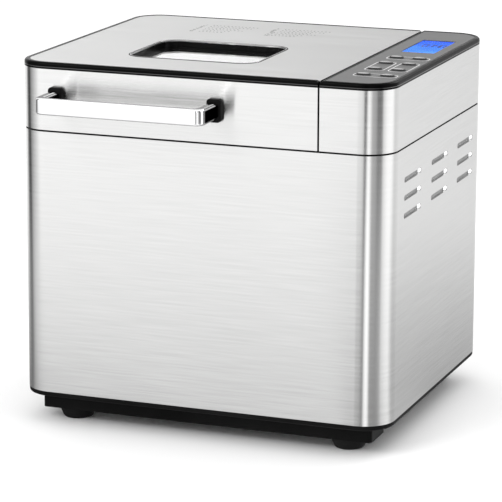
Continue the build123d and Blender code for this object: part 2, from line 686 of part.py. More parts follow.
with BuildPart(side_plane(LID_X + CHAMBER_W / 2, 0, Z_ELEMENT)) as element_bushes:
    with GridLocations(ELEMENT_ENDS, 0, 2, 1):
        Cylinder(ELEMENT_BUSH_R, SHEET, align=MIN_Z)
    with Locations((0, 0, SHEET)):
        with GridLocations(ELEMENT_ENDS, 0, 2, 1):
            Cylinder(ELEMENT_BUSH_R + ELEMENT_BUSH_T, ELEMENT_BUSH_T, align=MIN_Z)
    with GridLocations(ELEMENT_ENDS, 0, 2, 1):
        Cylinder(ELEMENT_R + SLIP, 4 * ELEMENT_BUSH_T, mode=Mode.SUBTRACT)
element_bushes.part.label = "element_bushes"
export_step(element_bushes.part, "parts/element_bushes.step")

with BuildPart(side_plane(LID_X + CHAMBER_W / 2, PROBE_Y, Z_CHAMBER_FLOOR + PROBE_UP)) as temperature_probe:
    Cylinder(PROBE_R, PROBE_IN, align=MAX_Z)
    fillet(temperature_probe.faces().sort_by(Axis.X)[0].edges(), PROBE_R / 2)
    Cylinder(PROBE_R, SHEET, align=MIN_Z)
    with BuildSketch(side_plane(LID_X + CHAMBER_W / 2 + SHEET, PROBE_Y, Z_CHAMBER_FLOOR + PROBE_UP)):
        RegularPolygon(PROBE_NUT_R, 6)
    extrude(amount=PROBE_NUT_T)
temperature_probe.part.label = "temperature_probe"
export_step(temperature_probe.part, "parts/temperature_probe.step")

with BuildPart() as pan_seat:
    with BuildSketch(level(Z_CHAMBER_FLOOR, LID_X)):
        Circle(PAN_BASE_R + SEAT_CLEAR + SEAT_WALL)
        Circle(PAN_BASE_R + SEAT_CLEAR, mode=Mode.SUBTRACT)
    extrude(amount=SEAT_H)
    chamfer(pan_seat.faces().sort_by(Axis.Z)[-1].edges(), SEAT_WALL / 4)
pan_seat.part.label = "pan_seat"
export_step(pan_seat.part, "parts/pan_seat.step")

# Drive under the chamber

with BuildPart() as drive_bracket:
    with BuildSketch(level(Z_BRACKET, BRACKET_X)):
        RectangleRounded(BRACKET_L, BRACKET_D, BRACKET_LEG_INSET)
    extrude(amount=BRACKET_T)
    with BuildSketch(level(Z_FLOOR, BRACKET_X)):
        with GridLocations(BRACKET_LEG_PITCH_X, BRACKET_LEG_PITCH_Y, 2, 2):
            Circle(BRACKET_LEG_R)
    extrude(amount=BRACKET_UP)
    with BuildSketch(level(Z_BRACKET_TOP, LID_X)):
        with GridLocations(STANDOFF_PITCH_X, STANDOFF_PITCH_Y, 2, 2):
            Circle(STANDOFF_R)
    extrude(amount=STANDOFF_H)
    with BuildSketch(level(Z_BRACKET, LID_X)):
        Circle(HOUSING_R + SLIP)
    extrude(amount=BRACKET_T, mode=Mode.SUBTRACT)
    with BuildSketch(level(Z_BRACKET, MOTOR_X)):
        Circle(MOTOR_PULLEY_R + PULLEY_FLANGE)
        with GridLocations(MOTOR_SCREW_PITCH, MOTOR_SCREW_PITCH, 2, 2):
            Circle(SCREW_R + SLIP)
    extrude(amount=BRACKET_T, mode=Mode.SUBTRACT)
    with BuildSketch(level(Z_FLOOR, BRACKET_X)):
        with GridLocations(BRACKET_LEG_PITCH_X, BRACKET_LEG_PITCH_Y, 2, 2):
            Circle(SCREW_R + SLIP)
    extrude(amount=SCREW_L - TRAY_FLOOR + FIT, mode=Mode.SUBTRACT)
drive_bracket.part.label = "drive_bracket"
export_step(drive_bracket.part, "parts/drive_bracket.step")

with BuildPart() as bearing_housing:
    with BuildSketch(level(Z_HOUSING, LID_X)):
        Circle(HOUSING_R)
    extrude(amount=Z_HOUSING_TOP - Z_HOUSING)
    with BuildSketch(level(Z_BRACKET_TOP, LID_X)):
        Circle(HOUSING_FLANGE_R)
    extrude(amount=HOUSING_FLANGE_T)
    with BuildSketch(level(Z_HOUSING, LID_X)):
        Circle(BUSH_R)
    extrude(amount=Z_HOUSING_TOP - Z_HOUSING, mode=Mode.SUBTRACT)
bearing_housing.part.label = "bearing_housing"
export_step(bearing_housing.part, "parts/bearing_housing.step")

with BuildPart() as spindle_bushes:
    for bottom in (Z_HOUSING, Z_HOUSING_TOP - BUSH_L):
        with BuildSketch(level(bottom, LID_X)):
            Circle(BUSH_R)
            Circle(SHAFT_R + SLIP, mode=Mode.SUBTRACT)
        extrude(amount=BUSH_L)
spindle_bushes.part.label = "spindle_bushes"
export_step(spindle_bushes.part, "parts/spindle_bushes.step")

with BuildPart() as drive_spindle:
    with BuildSketch(level(Z_PULLEY, LID_X)):
        Circle(SHAFT_R)
    extrude(amount=Z_DOG + DOG_HUB_H - Z_PULLEY)
drive_spindle.part.label = "drive_spindle"
export_step(drive_spindle.part, "parts/drive_spindle.step")

with BuildPart() as drive_dog:
    with BuildSketch(level(Z_DOG, LID_X)):
        Circle(DOG_HUB_R)
    extrude(amount=DOG_HUB_H)
    with BuildSketch(level(Z_DOG + DOG_HUB_H, LID_X)):
        Rectangle(2 * DOG_HUB_R, DOG_LUG_W)
        Circle(DOG_HUB_R, mode=Mode.INTERSECT)
        Circle(DOG_LUG_IN, mode=Mode.SUBTRACT)
    extrude(amount=DOG_LUG_H)
    with BuildSketch(level(Z_DOG, LID_X)):
        Circle(SHAFT_R)
    extrude(amount=DOG_HUB_H, mode=Mode.SUBTRACT)
drive_dog.part.label = "drive_dog"
export_step(drive_dog.part, "parts/drive_dog.step")

with BuildPart() as driven_pulley:
    with BuildSketch(level(Z_PULLEY, LID_X)):
        Circle(PULLEY_R + PULLEY_FLANGE)
    extrude(amount=PULLEY_H)
    with BuildSketch(level(Z_PULLEY + PULLEY_FLANGE_T, LID_X)):
        Circle(PULLEY_R + PULLEY_FLANGE)
        Circle(PULLEY_R, mode=Mode.SUBTRACT)
    extrude(amount=PULLEY_H - 2 * PULLEY_FLANGE_T, mode=Mode.SUBTRACT)
    # Dished on both faces down to a thin web, which has holes round it.
    with BuildSketch(level(Z_PULLEY, LID_X), level(Z_PULLEY + (PULLEY_H + PULLEY_WEB_T) / 2, LID_X)):
        Circle(PULLEY_R - PULLEY_WEB_T)
        Circle(PULLEY_HUB_R, mode=Mode.SUBTRACT)
    extrude(amount=(PULLEY_H - PULLEY_WEB_T) / 2, mode=Mode.SUBTRACT)
    with BuildSketch(level(Z_PULLEY, LID_X)):
        with PolarLocations((PULLEY_R - PULLEY_WEB_T + PULLEY_HUB_R) / 2, PULLEY_HOLES):
            Circle(PULLEY_HOLE_R)
    extrude(amount=PULLEY_H, mode=Mode.SUBTRACT)
    with BuildSketch(level(Z_PULLEY + PULLEY_H, LID_X)):
        Circle(PULLEY_HUB_R)
    extrude(amount=HUB_RISE)
    with BuildSketch(level(Z_PULLEY, LID_X)):
        Circle(SHAFT_R)
    extrude(amount=PULLEY_H + HUB_RISE, mode=Mode.SUBTRACT)
driven_pulley.part.label = "driven_pulley"
export_step(driven_pulley.part, "parts/driven_pulley.step")

with BuildPart() as drive_belt:
    with BuildSketch(level(Z_PULLEY + PULLEY_FLANGE_T + BELT_SIDE_GAP)):
        with Locations((LID_X, 0)):
            Circle(PULLEY_R + FIT + BELT_T)
        with Locations((MOTOR_X, 0)):
            Circle(MOTOR_PULLEY_R + FIT + BELT_T)
        make_hull()
    extrude(amount=BELT_W)
    with BuildSketch(level(Z_PULLEY + PULLEY_FLANGE_T + BELT_SIDE_GAP)):
        with Locations((LID_X, 0)):
            Circle(PULLEY_R + FIT)
        with Locations((MOTOR_X, 0)):
            Circle(MOTOR_PULLEY_R + FIT)
        make_hull()
    extrude(amount=BELT_W, mode=Mode.SUBTRACT)
drive_belt.part.label = "drive_belt"
export_step(drive_belt.part, "parts/drive_belt.step")

with BuildPart() as motor_pulley:
    with BuildSketch(level(Z_PULLEY, MOTOR_X)):
        Circle(MOTOR_PULLEY_R + PULLEY_FLANGE)
    extrude(amount=PULLEY_H)
    with BuildSketch(level(Z_PULLEY + PULLEY_FLANGE_T, MOTOR_X)):
        Circle(MOTOR_PULLEY_R + PULLEY_FLANGE)
        Circle(MOTOR_PULLEY_R, mode=Mode.SUBTRACT)
    extrude(amount=PULLEY_H - 2 * PULLEY_FLANGE_T, mode=Mode.SUBTRACT)
    with BuildSketch(level(Z_PULLEY, MOTOR_X)):
        Circle(MOTOR_SHAFT_R)
    extrude(amount=PULLEY_H, mode=Mode.SUBTRACT)
motor_pulley.part.label = "motor_pulley"
export_step(motor_pulley.part, "parts/motor_pulley.step")

with BuildPart() as motor_shaft:
    with BuildSketch(level(Z_PULLEY, MOTOR_X)):
        Circle(MOTOR_SHAFT_R)
    extrude(amount=Z_BRACKET_TOP + MOTOR_STACK_H + MOTOR_BELL_H - Z_PULLEY)
motor_shaft.part.label = "motor_shaft"
export_step(motor_shaft.part, "parts/motor_shaft.step")

with BuildPart() as motor:
    with BuildSketch(level(Z_BRACKET_TOP, MOTOR_X)):
        RectangleRounded(MOTOR_W, MOTOR_W, MOTOR_R)
    extrude(amount=MOTOR_STACK_H)
    with BuildSketch(level(Z_BRACKET_TOP + MOTOR_STACK_H, MOTOR_X)):
        Circle(MOTOR_BELL_R)
    extrude(amount=MOTOR_BELL_H)
    fillet(motor.faces().sort_by(Axis.Z)[-1].edges(), MOTOR_BELL_H / 3)
    with BuildSketch(level(Z_BRACKET_TOP, MOTOR_X)):
        Circle(MOTOR_SHAFT_R + SLIP)
    extrude(amount=MOTOR_STACK_H + MOTOR_BELL_H, mode=Mode.SUBTRACT)
    with BuildSketch(level(Z_BRACKET_TOP, MOTOR_X)):
        with GridLocations(MOTOR_SCREW_PITCH, MOTOR_SCREW_PITCH, 2, 2):
            Circle(SCREW_R + SLIP)
    extrude(amount=SCREW_L, mode=Mode.SUBTRACT)
motor.part.label = "motor"
export_step(motor.part, "parts/motor.step")

with BuildPart() as motor_capacitor:
    with BuildSketch(level(Z_FLOOR, CAPACITOR_X, CAPACITOR_Y)):
        Circle(CAPACITOR_R)
    extrude(amount=CAPACITOR_H)
    fillet(motor_capacitor.faces().sort_by(Axis.Z)[-1].edges(), CAPACITOR_R / 7)
    with BuildSketch(level(Z_FLOOR, CAPACITOR_X, CAPACITOR_Y)):
        Circle(CAPACITOR_R + CAPACITOR_FLANGE)
    extrude(amount=CAPACITOR_FLANGE_T)
motor_capacitor.part.label = "motor_capacitor"
export_step(motor_capacitor.part, "parts/motor_capacitor.step")

# Supply electrics

with BuildPart(level(Z_FLOOR + SUPPLY_UP, SUPPLY_X, SUPPLY_Y)) as power_board:
    Box(SUPPLY_W, SUPPLY_D, BOARD_T, align=MIN_Z)
    with Locations((SUPPLY_W / 4, 0, BOARD_T)):
        Box(*RELAY, align=MIN_Z)
    with GridLocations(SUPPLY_W - 2 * SUPPLY_FOOT_INSET, SUPPLY_D - 2 * SUPPLY_FOOT_INSET, 2, 2):
        Cylinder(SUPPLY_FOOT_R, SUPPLY_UP, align=MAX_Z)
power_board.part.label = "power_board"
export_step(power_board.part, "parts/power_board.step")

with BuildPart(level(Z_FLOOR + SUPPLY_UP + BOARD_T, SUPPLY_X - SUPPLY_W / 4, SUPPLY_Y)) as transformer:
    Box(*TRANSFORMER, align=MIN_Z)
    chamfer(transformer.edges().filter_by(Axis.Z), TRANSFORMER[0] / 13)
transformer.part.label = "transformer"
export_step(transformer.part, "parts/transformer.step")

# Lid

with BuildPart() as lid_skirt:
    with BuildSketch(level(Z_SKIRT)):
        lid_outline()
    extrude(amount=SKIRT_H)
    with BuildSketch(level(Z_SKIRT)):
        lid_outline(SHEET)
    extrude(amount=SKIRT_H, mode=Mode.SUBTRACT)
    with BuildSketch(front_plane(FRONT, HANDLE_X, HANDLE_Z)):
        with GridLocations(HANDLE_SPAN, 0, 2, 1):
            Circle(SCREW_R + SLIP)
    extrude(amount=-SHEET, mode=Mode.SUBTRACT)
    with BuildSketch(back_plane(BACK, LID_X, HINGE_Z + LEAF_SCREW_UP)):
        with GridLocations(HINGE_PITCH, 0, 2, 1):
            with GridLocations(LEAF_SCREW_PITCH, 0, 2, 1):
                Circle(SCREW_R + SLIP)
    extrude(amount=-SHEET, mode=Mode.SUBTRACT)
lid_skirt.part.label = "lid_skirt"
export_step(lid_skirt.part, "parts/lid_skirt.step")

with BuildPart() as lid_rim:
    with BuildSketch(level(Z_RIM)):
        lid_outline()
    extrude(amount=RIM_H)
    fillet(lid_rim.faces().sort_by(Axis.Z)[-1].edges(), RIM_ROUND)
    with BuildSketch(level(Z_RIM)):
        lid_outline(SHEET + FIT)
    extrude(amount=-RIM_SPIGOT)
    with BuildSketch(level(Z_PLATE)):
        body_outline(RIM_W)
    extrude(amount=PLATE_T + PLATE_DROP, mode=Mode.SUBTRACT)
    with BuildSketch(level(Z_RIM)):
        lid_outline(RIM_W + RIM_LEDGE)
    extrude(amount=RIM_H, mode=Mode.SUBTRACT)
    with BuildSketch(level(Z_RIM)):
        lid_outline(SHEET + FIT + RIM_WALL)
    extrude(amount=-RIM_SPIGOT, mode=Mode.SUBTRACT)
    # Bosses that reach down to the liner's flange.
    with BuildSketch(level(Z_LINER + SHEET, LID_X)):
        with GridLocations(LID_BOSS_SPAN, BODY_D - 2 * BOSS_INSET, 2, 2):
            Circle(BOSS_R)
    extrude(amount=Z_RIM - Z_LINER - SHEET)
    with BuildSketch(level(Z_LINER + SHEET, LID_X)):
        with GridLocations(LID_BOSS_SPAN, BODY_D - 2 * BOSS_INSET, 2, 2):
            Circle(SCREW_R + SLIP)
    extrude(amount=SCREW_L, mode=Mode.SUBTRACT)
lid_rim.part.label = "lid_rim"
export_step(lid_rim.part, "parts/lid_rim.step")

with BuildPart() as lid_top_plate:
    with BuildSketch(level(Z_PLATE)):
        body_outline(RIM_W + SLIP)
        with Locations((LID_RIGHT + LID_PLATE_OVER, 0)):
            Rectangle(BODY_W, BODY_D, align=(Align.MAX, Align.CENTER), mode=Mode.INTERSECT)
        with Locations((LID_X, WINDOW_Y)):
            RectangleRounded(WINDOW_W, WINDOW_D, WINDOW_R, mode=Mode.SUBTRACT)
    extrude(amount=PLATE_T)
lid_top_plate.part.label = "lid_top_plate"
export_step(lid_top_plate.part, "parts/lid_top_plate.step")

with BuildPart() as window_ring:
    with BuildSketch(level(Z_PLATE_TOP, LID_X, WINDOW_Y)):
        window_outline(RING_W)
    extrude(amount=PLATE_DROP)
    with BuildSketch(level(Z_PLATE_TOP, LID_X, WINDOW_Y)):
        window_outline()
    extrude(amount=PLATE_DROP, mode=Mode.SUBTRACT)
window_ring.part.label = "window_ring"
export_step(window_ring.part, "parts/window_ring.step")

with BuildPart() as window_well:
    with BuildSketch(level(Z_LINER_TOP, LID_X, WINDOW_Y)):
        window_outline(WELL_WALL)
    extrude(amount=Z_PLATE - Z_LINER_TOP)
    with BuildSketch(level(Z_PLATE, LID_X, WINDOW_Y)):
        window_outline(WELL_FLANGE)
    extrude(amount=-WELL_LEDGE_T)
    with BuildSketch(level(Z_GLASS, LID_X, WINDOW_Y)):
        window_outline()
    extrude(amount=Z_PLATE - Z_GLASS, mode=Mode.SUBTRACT)
    with BuildSketch(level(Z_LINER_TOP, LID_X, WINDOW_Y)):
        window_outline(-WELL_LEDGE)
    extrude(amount=WELL_LEDGE_T, mode=Mode.SUBTRACT)
window_well.part.label = "window_well"
export_step(window_well.part, "parts/window_well.step")

with BuildPart() as window_glass:
    with BuildSketch(level(Z_GLASS, LID_X, WINDOW_Y)):
        window_outline(-FIT)
    extrude(amount=GLASS_T)
window_glass.part.label = "window_glass"
export_step(window_glass.part, "parts/window_glass.step")

with BuildPart() as lid_liner:
    with BuildSketch(level(Z_LINER)):
        lid_outline(SHEET + FIT)
    extrude(amount=SHEET)
    with BuildSketch(level(Z_LINER, LID_X)):
        chamber_outline(LINER_CLEAR + SHEET)
    extrude(amount=Z_LINER_TOP - Z_LINER)
    with BuildSketch(level(Z_LINER, LID_X)):
        chamber_outline(LINER_CLEAR)
    extrude(amount=Z_LINER_TOP - Z_LINER - SHEET, mode=Mode.SUBTRACT)
    with BuildSketch(level(Z_LINER_TOP, LID_X, WINDOW_Y)):
        window_outline(-WELL_LEDGE)
    extrude(amount=-SHEET, mode=Mode.SUBTRACT)
    with BuildSketch(level(Z_LINER, LID_X)):
        with GridLocations(LID_BOSS_SPAN, BODY_D - 2 * BOSS_INSET, 2, 2):
            Circle(SCREW_R + SLIP)
    extrude(amount=SHEET, mode=Mode.SUBTRACT)
lid_liner.part.label = "lid_liner"
export_step(lid_liner.part, "parts/lid_liner.step")

with BuildPart() as lid_seal:
    with BuildSketch(level(Z_LINER, LID_X)):
        chamber_outline(LINER_CLEAR + SEAL_W)
    extrude(amount=-(Z_LINER - Z_DECK - SHEET - FIT))
    with BuildSketch(level(Z_LINER, LID_X)):
        chamber_outline(LINER_CLEAR)
    extrude(amount=-(Z_LINER - Z_DECK - SHEET - FIT), mode=Mode.SUBTRACT)
    fillet(lid_seal.faces().sort_by(Axis.Z)[0].edges(), SEAL_W / 4)
lid_seal.part.label = "lid_seal"
export_step(lid_seal.part, "parts/lid_seal.step")

with BuildPart() as lid_screws:
    with Locations(under(Z_LINER, LID_X)):
        with GridLocations(LID_BOSS_SPAN, BODY_D - 2 * BOSS_INSET, 2, 2):
            screw()
    with Locations(back_plane(BACK + LEAF_T, LID_X, HINGE_Z + LEAF_SCREW_UP)):
        with GridLocations(HINGE_PITCH, 0, 2, 1):
            with GridLocations(LEAF_SCREW_PITCH, 0, 2, 1):
                screw(LEAF_SCREW_L)
    with Locations(back_plane(FRONT + SHEET, HANDLE_X, HANDLE_Z)):
        with GridLocations(HANDLE_SPAN, 0, 2, 1):
            screw(SHEET + HANDLE_POST_T + SCREW_L)
lid_screws.part.label = "lid_screws"
export_step(lid_screws.part, "parts/lid_screws.step")

with BuildPart() as handle_posts:
    with BuildSketch(front_plane(FRONT, HANDLE_X, HANDLE_Z)):
        with GridLocations(HANDLE_SPAN, 0, 2, 1):
            RectangleRounded(HANDLE_POST_W, HANDLE_POST_H, HANDLE_POST_R)
    extrude(amount=HANDLE_POST_T)
    fillet(handle_posts.faces().group_by(Axis.Y)[0].edges(), HANDLE_POST_T / 5)
    with BuildSketch(front_plane(FRONT, HANDLE_X, HANDLE_Z)):
        with GridLocations(HANDLE_SPAN, 0, 2, 1):
            Circle(SCREW_R + SLIP)
    extrude(amount=HANDLE_POST_T, mode=Mode.SUBTRACT)
handle_posts.part.label = "handle_posts"
export_step(handle_posts.part, "parts/handle_posts.step")

with BuildPart() as handle_bar:
    bar_l = HANDLE_SPAN + ARM_T
    arm_l = HANDLE_REACH - HANDLE_POST_T
    arm_end = BODY_Y + FRONT - HANDLE_POST_T
    bar_plane = level(HANDLE_Z - BAR_H / 2, HANDLE_X, FRONT - HANDLE_REACH)
    with BuildSketch(bar_plane):
        with BuildLine():
            FilletPolyline(
                (-bar_l / 2, arm_l),
                (-bar_l / 2, 0),
                (bar_l / 2, 0),
                (bar_l / 2, arm_l),
                radius=BAR_BEND_R,
            )
            FilletPolyline(
                (-bar_l / 2 + ARM_T, arm_l),
                (-bar_l / 2 + ARM_T, BAR_T),
                (bar_l / 2 - ARM_T, BAR_T),
                (bar_l / 2 - ARM_T, arm_l),
                radius=BAR_INSIDE_R,
            )
            Line((-bar_l / 2, arm_l), (-bar_l / 2 + ARM_T, arm_l))
            Line((bar_l / 2, arm_l), (bar_l / 2 - ARM_T, arm_l))
        make_face()
    extrude(amount=BAR_H)
    long_edges = handle_bar.faces().filter_by(Axis.Z).edges().filter_by(
        lambda edge: edge.center().Y < arm_end - SLIP
    )
    fillet(long_edges, BAR_ROUND)
    with BuildSketch(back_plane(FRONT - HANDLE_POST_T, HANDLE_X, HANDLE_Z)):
        with GridLocations(HANDLE_SPAN, 0, 2, 1):
            Circle(SCREW_R + SLIP)
    extrude(amount=-(SCREW_L + FIT), mode=Mode.SUBTRACT)
handle_bar.part.label = "handle_bar"
export_step(handle_bar.part, "parts/handle_bar.step")

# Hinges

hinge_spots = (LID_X - HINGE_PITCH / 2, LID_X + HINGE_PITCH / 2)
outer_knuckle_l = (HINGE_W - HINGE_TONGUE) / 2 - FIT
leaf_near = KNUCKLE_R + LEAF_GAP

with BuildPart() as body_hinges:
    for hinge_x in hinge_spots:
        with BuildSketch(side_plane(hinge_x - HINGE_W / 2, BACK, HINGE_Z)):
            with Locations((0, -leaf_near)):
                Rectangle(LEAF_T, LEAF_H - leaf_near, align=(Align.MIN, Align.MAX))
        extrude(amount=HINGE_W)
        for knuckle_x in (hinge_x - HINGE_W / 2, hinge_x + HINGE_W / 2 - outer_knuckle_l):
            with BuildSketch(side_plane(knuckle_x, BACK, HINGE_Z)):
                Rectangle(LEAF_T, leaf_near, align=(Align.MIN, Align.MAX))
                with Locations((HINGE_BACK, 0)):
                    Circle(KNUCKLE_R)
                    Circle(PIN_R + SLIP / 2, mode=Mode.SUBTRACT)
            extrude(amount=outer_knuckle_l)
    with BuildSketch(back_plane(BACK, LID_X, HINGE_Z - LEAF_SCREW_UP)):
        with GridLocations(HINGE_PITCH, 0, 2, 1):
            with GridLocations(LEAF_SCREW_PITCH, 0, 2, 1):
                Circle(SCREW_R + SLIP)
    extrude(amount=LEAF_T, mode=Mode.SUBTRACT)
body_hinges.part.label = "body_hinges"
export_step(body_hinges.part, "parts/body_hinges.step")

with BuildPart() as lid_hinges:
    for hinge_x in hinge_spots:
        with BuildSketch(side_plane(hinge_x - HINGE_W / 2, BACK, HINGE_Z)):
            with Locations((0, leaf_near)):
                Rectangle(LEAF_T, LEAF_H - leaf_near, align=(Align.MIN, Align.MIN))
        extrude(amount=HINGE_W)
        with BuildSketch(side_plane(hinge_x - HINGE_TONGUE / 2, BACK, HINGE_Z)):
            Rectangle(LEAF_T, leaf_near, align=(Align.MIN, Align.MIN))
            with Locations((HINGE_BACK, 0)):
                Circle(KNUCKLE_R)
                Circle(PIN_R + SLIP, mode=Mode.SUBTRACT)
        extrude(amount=HINGE_TONGUE)
    with BuildSketch(back_plane(BACK, LID_X, HINGE_Z + LEAF_SCREW_UP)):
        with GridLocations(HINGE_PITCH, 0, 2, 1):
            with GridLocations(LEAF_SCREW_PITCH, 0, 2, 1):
                Circle(SCREW_R + SLIP)
    extrude(amount=LEAF_T, mode=Mode.SUBTRACT)
lid_hinges.part.label = "lid_hinges"
export_step(lid_hinges.part, "parts/lid_hinges.step")

with BuildPart() as hinge_pins:
    for hinge_x in hinge_spots:
        with BuildSketch(side_plane(hinge_x - HINGE_W / 2, BACK + HINGE_BACK, HINGE_Z)):
            Circle(PIN_R)
        extrude(amount=HINGE_W)
hinge_pins.part.label = "hinge_pins"
export_step(hinge_pins.part, "parts/hinge_pins.step")

# Control section

with BuildPart() as control_cover:
    with BuildSketch(level(Z_SKIRT)):
        panel_outline()
    extrude(amount=SKIRT_H)
    with BuildSketch(level(Z_SKIRT)):
        panel_outline(SHEET)
    extrude(amount=SKIRT_H, mode=Mode.SUBTRACT)
control_cover.part.label = "control_cover"
export_step(control_cover.part, "parts/control_cover.step")

with BuildPart() as panel_rim:
    with BuildSketch(level(Z_RIM)):
        panel_outline()
    extrude(amount=RIM_H)
    fillet(panel_rim.faces().sort_by(Axis.Z)[-1].edges(), RIM_ROUND)
    with BuildSketch(level(Z_RIM)):
        panel_outline(SHEET + FIT)
    extrude(amount=-RIM_SPIGOT)
    with BuildSketch(level(Z_PLATE)):
        plate_outline()
    extrude(amount=PLATE_T + PLATE_DROP, mode=Mode.SUBTRACT)
    with BuildSketch(level(Z_RIM)):
        panel_outline(SHEET + FIT + RIM_WALL)
    extrude(amount=-RIM_SPIGOT, mode=Mode.SUBTRACT)
    # Legs that stand on the deck.
    with BuildSketch(level(Z_DECK, PANEL_X)):
        with GridLocations(LEG_PITCH_X, LEG_PITCH, 2, 2):
            Circle(BOSS_R)
    extrude(amount=Z_RIM - Z_DECK)
    with BuildSketch(level(Z_DECK, PANEL_X)):
        with GridLocations(LEG_PITCH_X, LEG_PITCH, 2, 2):
            Circle(SCREW_R + SLIP)
    extrude(amount=SCREW_L, mode=Mode.SUBTRACT)
    # Room for the board and what stands on it.
    with BuildSketch(level(Z_RIM)):
        panel_outline(RIM_W + PANEL_LEDGE)
    extrude(amount=RIM_H, mode=Mode.SUBTRACT)
panel_rim.part.label = "panel_rim"
export_step(panel_rim.part, "parts/panel_rim.step")

with BuildPart() as panel_plate:
    with BuildSketch(level(Z_PLATE)):
        plate_outline(SLIP)
        with Locations((LCD_X, LCD_Y)):
            Rectangle(LCD_W, LCD_D, mode=Mode.SUBTRACT)
        with Locations((BUTTON_X, BUTTON_ROWS_Y)):
            with GridLocations(BUTTON_PITCH_X, BUTTON_PITCH_Y, 2, BUTTON_ROWS):
                RectangleRounded(BUTTON_W + 2 * FIT, BUTTON_D + 2 * FIT, BUTTON_R + FIT, mode=Mode.SUBTRACT)
    extrude(amount=PLATE_T)
    # Studs that carry the board.
    with BuildSketch(*(level(Z_PLATE, PANEL_X, stud_y) for stud_y in STUD_SPOTS_Y)):
        with GridLocations(STUD_PITCH_X, 0, 2, 1):
            Circle(STUD_R)
    extrude(amount=-BOARD_GAP)
panel_plate.part.label = "panel_plate"
export_step(panel_plate.part, "parts/panel_plate.step")

with BuildPart() as lcd_lens:
    with BuildSketch(level(Z_PLATE, LCD_X, LCD_Y)):
        Rectangle(LCD_W - 2 * SLIP, LCD_D - 2 * SLIP)
    extrude(amount=PLATE_T)
    with BuildSketch(level(Z_PLATE, LCD_X, LCD_Y)):
        Rectangle(LCD_W + 2 * LCD_BORDER, LCD_D + 2 * LCD_BORDER)
    extrude(amount=-LENS_FLANGE_T)
lcd_lens.part.label = "lcd_lens"
export_step(lcd_lens.part, "parts/lcd_lens.step")

with BuildPart() as lcd_module:
    with BuildSketch(level(Z_BOARD, LCD_X, LCD_Y)):
        Rectangle(LCD_W + 2 * LCD_BORDER, LCD_D + 2 * LCD_BORDER)
    extrude(amount=BOARD_GAP - LENS_FLANGE_T)
lcd_module.part.label = "lcd_module"
export_step(lcd_module.part, "parts/lcd_module.step")

with BuildPart() as control_board:
    with BuildSketch(level(Z_BOARD, PANEL_X)):
        Rectangle(BOARD_W, BOARD_D)
    extrude(amount=-BOARD_T)
    with BuildSketch(level(Z_BOARD, BUTTON_X, BUTTON_ROWS_Y)):
        with GridLocations(BUTTON_PITCH_X, BUTTON_PITCH_Y, 2, BUTTON_ROWS):
            Rectangle(SWITCH_W, SWITCH_W)
    extrude(amount=SWITCH_H)
    with BuildSketch(level(Z_BOARD + SWITCH_H, BUTTON_X, BUTTON_ROWS_Y)):
        with GridLocations(BUTTON_PITCH_X, BUTTON_PITCH_Y, 2, BUTTON_ROWS):
            Circle(BUTTON_STEM_R + FIT)
    extrude(amount=-(SWITCH_GRIP + BUTTON_TRAVEL + FIT), mode=Mode.SUBTRACT)
control_board.part.label = "control_board"
export_step(control_board.part, "parts/control_board.step")

# Buttons, from the front row to the back row, left and right in each row.
BUTTON_NAMES = (
    ("start_button", "stop_button"),
    ("time_down_button", "weight_down_button"),
    ("time_up_button", "weight_up_button"),
    ("menu_button", "crust_button"),
)
for row, names in enumerate(BUTTON_NAMES):
    for column, name in enumerate(names):
        button_x = BUTTON_X + (column - 0.5) * BUTTON_PITCH_X
        button_y = BUTTON_FIRST_Y + row * BUTTON_PITCH_Y
        with BuildPart() as button:
            with BuildSketch(level(Z_PLATE - FIT, button_x, button_y)):
                RectangleRounded(BUTTON_W, BUTTON_D, BUTTON_R)
            extrude(amount=FIT + PLATE_T + BUTTON_PROUD)
            fillet(button.faces().sort_by(Axis.Z)[-1].edges(), BUTTON_ROUND)
            with BuildSketch(level(Z_PLATE - FIT, button_x, button_y)):
                RectangleRounded(BUTTON_W + 2 * BUTTON_FLANGE, BUTTON_D + 2 * BUTTON_FLANGE, BUTTON_R)
            extrude(amount=-BUTTON_FLANGE)
            with BuildSketch(level(Z_PLATE - FIT, button_x, button_y)):
                Circle(BUTTON_STEM_R)
            extrude(amount=-(BOARD_GAP - FIT - SWITCH_H + SWITCH_GRIP))
        button.part.label = name
        export_step(button.part, f"parts/{name}.step")

# Bread pan

pan_ear_x = PAN_W / 2 + PAN_RIM + EAR_T
bail_x = pan_ear_x + BAIL_END_R + FIT
bail_reach = PAN_D / 2 + PAN_RIM + BAIL_SPARE + BAIL_R

